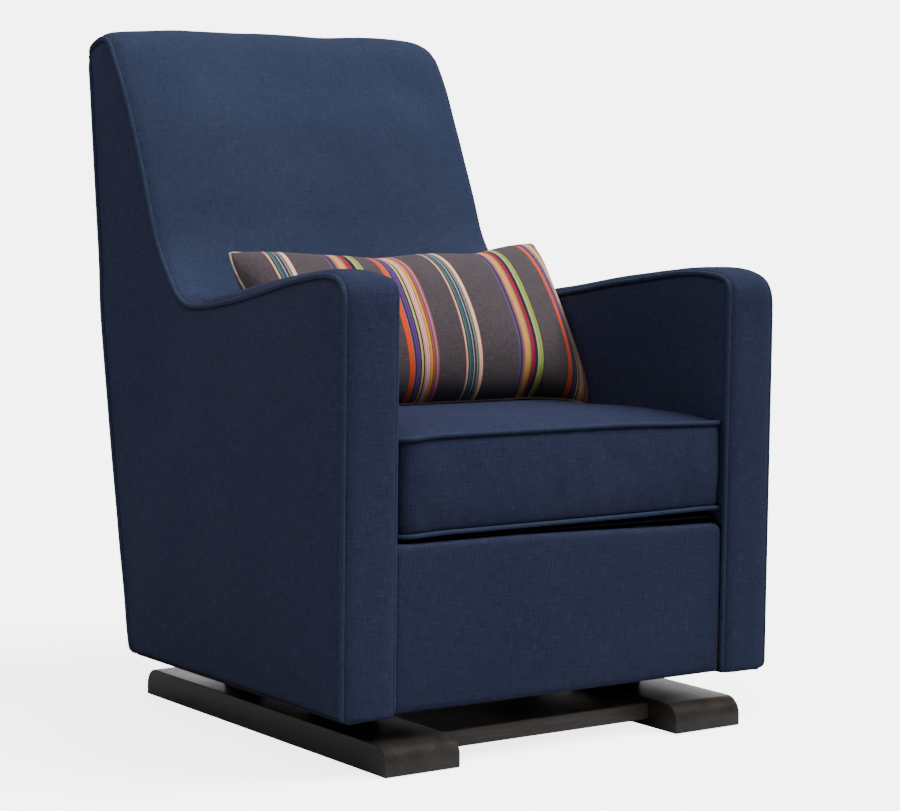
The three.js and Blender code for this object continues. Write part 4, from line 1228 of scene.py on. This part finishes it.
def stripes_material(width):
    m, nt, b = nodes_of("pillow_stripes")
    uv = N(nt, "ShaderNodeUVMap", uv_map="cloth")
    vec = uv.outputs[0]
    sep = N(nt, "ShaderNodeSeparateXYZ")
    nt.links.new(vec, sep.inputs[0])
    wob = N(nt, "ShaderNodeTexNoise", i_Scale=320.0, i_Detail=1.0)
    nt.links.new(vec, wob.inputs["Vector"])
    u = math_node(nt, "MULTIPLY_ADD", math_node(nt, "SUBTRACT", wob.outputs[0], 0.5), 0.0009, sep.outputs[0])
    base = STRIPE["g"]
    # ground cloth
    hgt, tone = weave_nodes(nt, vec, 0.0013, 0.8, 2.0)
    ground = ramp(nt, [(0.32, lin(44, 38, 42)), (0.5, base), (0.68, lin(80, 72, 75))])
    nt.links.new(tone, ground.inputs[0])
    c = ground.outputs[0]
    for runs, cen in GROUPS:
        runs = [(col, w * 0.84) for col, w in runs]
        total = sum(w for _, w in runs)
        x0 = (cen - 0.5) * width - total / 2
        stops, x = [], x0
        for col, w in runs:
            stops.append((x, STRIPE[col]))
            x += w
        x1 = x
        f = N(nt, "ShaderNodeMapRange")
        f.inputs["From Min"].default_value = x0 * MM
        f.inputs["From Max"].default_value = x1 * MM
        f.clamp = False
        nt.links.new(u, f.inputs[0])
        cr = ramp(nt, [((s - x0) / (x1 - x0), col) for s, col in stops], "CONSTANT")
        nt.links.new(f.outputs[0], cr.inputs[0])
        lo = math_node(nt, "GREATER_THAN", f.outputs[0], 0.0)
        hi = math_node(nt, "LESS_THAN", f.outputs[0], 1.0)
        fac = math_node(nt, "MULTIPLY", math_node(nt, "MULTIPLY", lo, hi), 0.93)
        c = mix(nt, c, cr.outputs[0], fac)
    # painted shade: the stripes are darkened where the weave dips between the yarns
    yarn_gap_shade = ramp(nt, [(0.0, (0.78, 0.77, 0.78, 1)), (0.75, (1.04, 1.04, 1.04, 1))])
    nt.links.new(hgt, yarn_gap_shade.inputs[0])
    c = mix(nt, c, yarn_gap_shade.outputs[0], 1.0, "MULTIPLY")
    soft = ramp(nt, [(0.3, (0.9, 0.9, 0.9, 1)), (0.7, (1.08, 1.08, 1.08, 1))])
    nt.links.new(tone, soft.inputs[0])
    c = mix(nt, c, soft.outputs[0], 1.0, "MULTIPLY")
    nt.links.new(c, b.inputs["Base Color"])
    r = math_node(nt, "MULTIPLY_ADD", tone, 0.14, 0.74)
    nt.links.new(r, b.inputs["Roughness"])
    b.inputs["Sheen Weight"].default_value = 0.08
    b.inputs["Specular IOR Level"].default_value = 0.25
    bump(nt, [(tone, 0.3, 0.001), (hgt, 0.5, 0.0005)], b)
    return m


for _k in list(STRIPE):
    if _k not in ("g", "d", "k"):
        _c = STRIPE[_k]
        _m = sum(_c[:3]) / 3
        STRIPE[_k] = tuple(max(0.0, (_m + (v - _m) * 1.15)) * 0.70 for v in _c[:3]) + (1,)
PILLOW_MAT = stripes_material(560.0)
PIPING = linen("pillow_piping", lin(120, 98, 88), lin(172, 148, 134), lin(200, 180, 165), pitch=0.0012, bias=True, sheen=0.0)


def relaxed(o, co, times, amount):
    """Evens out the cover a little."""
    e = np.empty(len(o.data.edges) * 2, int)
    o.data.edges.foreach_get("vertices", e)
    e = e.reshape(-1, 2)
    cnt = np.bincount(e.ravel(), minlength=len(co)).astype(float)[:, None]
    for _ in range(times):
        acc = np.zeros_like(co)
        np.add.at(acc, e[:, 0], co[e[:, 1]])
        np.add.at(acc, e[:, 1], co[e[:, 0]])
        co = co + amount * (acc / cnt - co)
    return co


def lumbar_pillow():
    FW, FH = 592.0, 352.0
    nu, nv = 74, 44
    us, vs = np.linspace(-1, 1, nu + 1), np.linspace(-1, 1, nv + 1)
    U, Vv = np.meshgrid(us, vs, indexing="ij")
    # cover cut with slightly hollowed edges, corners a little proud
    X, Y = U * FW / 2, Vv * FH / 2
    rc = 26.0
    ca, cb = np.clip((abs(X) - FW / 2 + rc) / rc, 0, 1), np.clip((abs(Y) - FH / 2 + rc) / rc, 0, 1)
    dx = rc * ca * (1 - np.sqrt(1 - cb ** 2 / 2))
    dy = rc * cb * (1 - np.sqrt(1 - ca ** 2 / 2))
    X, Y = X - np.sign(X) * dx, Y - np.sign(Y) * dy
    X = X * (1 + 0.03 * (1 - Vv ** 2))
    Y = Y * (1 + np.where(Vv < 0, 0.05, 0.015) * (1 - U ** 2))
    d = np.minimum((1 - abs(U)) * FW / 2, (1 - abs(Vv)) * FH / 2)
    Z = 26.0 * (1 - np.exp(-d / 45.0))
    idx = -np.ones((2, nu + 1, nv + 1), int)
    V, UV = [], []
    for s_, sg in ((0, 1), (1, -1)):
        for i in range(nu + 1):
            for j in range(nv + 1):
                rim = i in (0, nu) or j in (0, nv)
                if s_ == 1 and rim:
                    idx[1, i, j] = idx[0, i, j]
                    continue
                idx[s_, i, j] = len(V)
                V.append((X[i, j], Y[i, j], sg * Z[i, j]))
                UV.append((X[i, j] * (545.0 / FW) * 1.0, Y[i, j]))
    F = []
    for i in range(nu):
        for j in range(nv):
            F.append((idx[0, i, j], idx[0, i + 1, j], idx[0, i + 1, j + 1], idx[0, i, j + 1]))
            F.append((idx[1, i, j + 1], idx[1, i + 1, j + 1], idx[1, i + 1, j], idx[1, i, j]))
    o = mesh_object("lumbar_pillow_cover", V, F, UV)
    rest = coords(o)
    sim = cloth_settle(o, [], 8.0, 44, tension=16, shear=6, bend=1.8, shrink=0.0, goal=0.0)
    sim = relaxed(o, sim, 34, 0.5)
    sim -= (sim.max(0) + sim.min(0)) / 2
    ext = sim.max(0) - sim.min(0)
    print("PILLOW_SIM_EXTENT", ext)
    sim *= np.array([P_W + 4, P_H + 8, 150.0]) / ext
    # stand it on the seat and lean it on the back: local x across, y up along the pillow, z out of its face
    a = math.radians(P_LEAN)
    ex, ey, ez = np.array([1.0, 0, 0]), np.array([0, math.sin(a), math.cos(a)]), np.array([0, -math.cos(a), math.sin(a)])
    cen = np.array([12.0, -29.0, 557.0])
    co = cen + sim[:, :1] * ex + sim[:, 1:2] * ey + sim[:, 2:3] * ez
    co[:, 2] += 6.0 * (co[:, 0] - 12) / 270.0 * smoothstep(-0.2, 1.0, sim[:, 1] / (P_H / 2))
    # its lower seam comes down onto the seat
    rb = [idx[0, i, 0] for i in range(nu + 1)]
    order = np.argsort(co[rb, 0])
    rx, rz = co[rb, 0][order], co[rb, 2][order]
    gap = np.interp(co[:, 0], rx, rz - (CUSHION_TOP(rx, co[rb, 1][order]) + 1.5))
    co[:, 2] -= np.clip(gap, -10, 30) * (1 - smoothstep(-140, 60, sim[:, 1])) ** 1.5
    # flattened where it rests on the seat cushion and on the back
    top = CUSHION_TOP(co[:, 0], co[:, 1]) + 0.8
    co[:, 2] = np.where(co[:, 2] < top, top + 0.02 * (co[:, 2] - top), co[:, 2])
    yb = BACK_Y(co[:, 0], co[:, 2]) - 1.0
    co[:, 1] = np.where(co[:, 1] > yb, yb + 0.02 * (co[:, 1] - yb), co[:, 1])
    put_coords(o, co)
    fix_normals(o)
    rim = [idx[0, i, 0] for i in range(nu + 1)] + [idx[0, nu, j] for j in range(1, nv + 1)]
    rim += [idx[0, i, nv] for i in range(nu - 1, -1, -1)] + [idx[0, 0, j] for j in range(nv - 1, 0, -1)]
    loop = co[rim]
    uvl = np.array(UV)[rim]
    subdivided(o, 1)
    finish_piece(o, PILLOW_MAT, body="lumbar_pillow", replaces=("lumbar_pillow",))
    n = len(loop)
    q = resample(np.vstack([loop, loop[:1]]), 7.0)[:-1]
    c = q.mean(0)
    t = tube("pillow_edge_cord", q, 1.7, sides=8, closed=True, up=tuple(ez))
    finish_piece(t, PIPING, body="lumbar_pillow")
    return o


def height_lookup(points, axis_a, axis_b, axis_v, cell, mode):
    """Lookup of one coordinate over a grid of the other two, from scattered points."""
    a, b, v = points[:, axis_a], points[:, axis_b], points[:, axis_v]
    a0, b0 = a.min(), b.min()
    na, nb = int((a.max() - a0) / cell) + 2, int((b.max() - b0) / cell) + 2
    G = np.full((na, nb), np.nan)
    ia, ib = ((a - a0) / cell).astype(int), ((b - b0) / cell).astype(int)
    for i, j, w in zip(ia, ib, v):
        if np.isnan(G[i, j]) or (mode == "max" and w > G[i, j]) or (mode == "min" and w < G[i, j]):
            G[i, j] = w
    for _ in range(12):
        bad = np.isnan(G)
        if not bad.any():
            break
        P = np.pad(G, 1, constant_values=np.nan)
        S = np.stack([P[:-2, 1:-1], P[2:, 1:-1], P[1:-1, :-2], P[1:-1, 2:]])
        with np.errstate(all="ignore"):
            mean = np.nanmean(S, 0)
        G[bad] = mean[bad]
    fill = -1e9 if mode == "max" else 1e9
    G = np.where(np.isnan(G), fill, G)

    def f(x, y):
        fx = np.clip((x - a0) / cell - 0.5, 0, na - 1.001)
        fy = np.clip((y - b0) / cell - 0.5, 0, nb - 1.001)
        i, j = fx.astype(int), fy.astype(int)
        tx, ty = fx - i, fy - j
        out = (G[i, j] * (1 - tx) * (1 - ty) + G[i + 1, j] * tx * (1 - ty) + G[i, j + 1] * (1 - tx) * ty
               + G[i + 1, j + 1] * tx * ty)
        off = (x < a.min() - cell) | (x > a.max() + cell) | (y < b.min() - cell) | (y > b.max() + cell)
        return np.where(off, fill, out)

    return f


import warnings
warnings.filterwarnings("ignore")
_c = coords(CUSHION_OBJ)
CUSHION_TOP = height_lookup(_c[_c[:, 2] > 432], 0, 1, 2, 14.0, "max")
BACK_Y = height_lookup(BACK_P.reshape(-1, 3), 0, 2, 1, 12.0, "min")
PILLOW_OBJ = lumbar_pillow()


# ------------------------------------------------------------------ floor, light and camera
def floor_stage():
    bpy.ops.mesh.primitive_plane_add(size=60, location=(0, 0, 0))
    f = bpy.context.object
    f.name = "studio_floor"
    m, nt, b = nodes_of("pale_floor")
    tc = N(nt, "ShaderNodeTexCoord")
    t = N(nt, "ShaderNodeTexNoise", i_Scale=1.2, i_Detail=2.0)
    nt.links.new(tc.outputs["Object"], t.inputs["Vector"])
    cr = ramp(nt, [(0.3, lin(236, 238, 241)), (0.7, lin(241, 242, 245))])
    nt.links.new(t.outputs[0], cr.inputs[0])
    nt.links.new(cr.outputs[0], b.inputs["Base Color"])
    b.inputs["Roughness"].default_value = 0.85
    b.inputs["Specular IOR Level"].default_value = 0.15
    # bounced light from the floor is held back so that the chair's own sides stay in shade
    out = [n for n in nt.nodes if n.type == "OUTPUT_MATERIAL"][0]
    dim = N(nt, "ShaderNodeBsdfDiffuse")
    dim.inputs["Color"].default_value = (0.30, 0.31, 0.33, 1)
    glow = N(nt, "ShaderNodeEmission", i_Strength=3.6)
    glow.inputs["Color"].default_value = (1, 1, 1, 1)
    add = N(nt, "ShaderNodeAddShader")
    nt.links.new(b.outputs[0], add.inputs[0])
    nt.links.new(glow.outputs[0], add.inputs[1])
    lp = N(nt, "ShaderNodeLightPath")
    mx = N(nt, "ShaderNodeMixShader")
    nt.links.new(lp.outputs["Is Camera Ray"], mx.inputs[0])
    nt.links.new(dim.outputs[0], mx.inputs[1])
    nt.links.new(add.outputs[0], mx.inputs[2])
    nt.links.new(mx.outputs[0], out.inputs[0])
    f.data.materials.append(m)


floor_stage()


def light(name, loc, aim, size, energy, color=(1, 1, 1), size_y=None):
    d = bpy.data.lights.new(name, "AREA")
    d.energy = energy
    d.color = color
    d.shape = "RECTANGLE"
    d.size = size
    d.size_y = size_y or size
    o = bpy.data.objects.new(name, d)
    o.location = loc
    o.rotation_euler = (Vector(aim) - Vector(loc)).to_track_quat("-Z", "Y").to_euler()
    scene.collection.objects.link(o)
    return o


w = bpy.data.worlds.new("studio")
w.use_nodes = True
wn = w.node_tree
bg = wn.nodes["Background"]
bg.inputs[0].default_value = (1, 1, 1, 1)
bg.inputs[1].default_value = 0.36
# a pale wall behind the chair for the varnish to reflect
tcw = wn.nodes.new("ShaderNodeTexCoord")
dt = wn.nodes.new("ShaderNodeVectorMath")
dt.operation = "DOT_PRODUCT"
dt.inputs[1].default_value = (0.58, 0.81, -0.35)
wn.links.new(tcw.outputs["Generated"], dt.inputs[0])
wr = wn.nodes.new("ShaderNodeMapRange")
wr.inputs["From Min"].default_value = 0.55
wr.inputs["From Max"].default_value = 0.95
wr.inputs["To Min"].default_value = 0.26
wr.inputs["To Max"].default_value = 2.3
wn.links.new(dt.outputs["Value"], wr.inputs[0])
wn.links.new(wr.outputs[0], bg.inputs[1])
seen = wn.nodes.new("ShaderNodeBackground")
seen.inputs[0].default_value = (1, 1, 1, 1)
seen.inputs[1].default_value = 5.8
lp = wn.nodes.new("ShaderNodeLightPath")
mx = wn.nodes.new("ShaderNodeMixShader")
wn.links.new(lp.outputs["Is Camera Ray"], mx.inputs[0])
wn.links.new(bg.outputs[0], mx.inputs[1])
wn.links.new(seen.outputs[0], mx.inputs[2])
wn.links.new(mx.outputs[0], wn.nodes["World Output"].inputs[0])
scene.world = w


def sun(name, towards, strength, angle, color=(1, 1, 1)):
    d = bpy.data.lights.new(name, "SUN")
    d.energy = strength
    d.angle = math.radians(angle)
    d.color = color
    o = bpy.data.objects.new(name, d)
    o.rotation_euler = Vector(towards).to_track_quat("Z", "Y").to_euler()
    scene.collection.objects.link(o)
    return o


for s_ in (sun("key_softbox", (0.47, -0.30, 0.83), 7.4, 36), sun("overhead_softbox", (0.05, 0.10, 1.0), 0.3, 60),
           sun("fill_softbox", (-0.52, -0.11, 0.85), 2.0, 60)):
    s_.visible_glossy = False

cam = bpy.data.cameras.new("camera")
cam.sensor_fit = "HORIZONTAL"
cam.sensor_width = 36.0
cam.lens = 96.346
cam.clip_start = 0.05
cam.clip_end = 100
co = bpy.data.objects.new("camera", cam)
a, e, r = math.radians(35.41), math.radians(4.73), math.radians(0.71)
fwd = Vector((math.sin(a) * math.cos(e), math.cos(a) * math.cos(e), -math.sin(e)))
right = Vector((math.cos(a), -math.sin(a), 0))
upv = right.cross(fwd)
R2 = right * math.cos(r) + upv * math.sin(r)
U2 = -right * math.sin(r) + upv * math.cos(r)
M = Matrix((R2, U2, -fwd)).transposed().to_4x4()
M.translation = Vector((-2.00464, -2.95046, 0.73467))
co.matrix_world = M
scene.collection.objects.link(co)
scene.camera = co
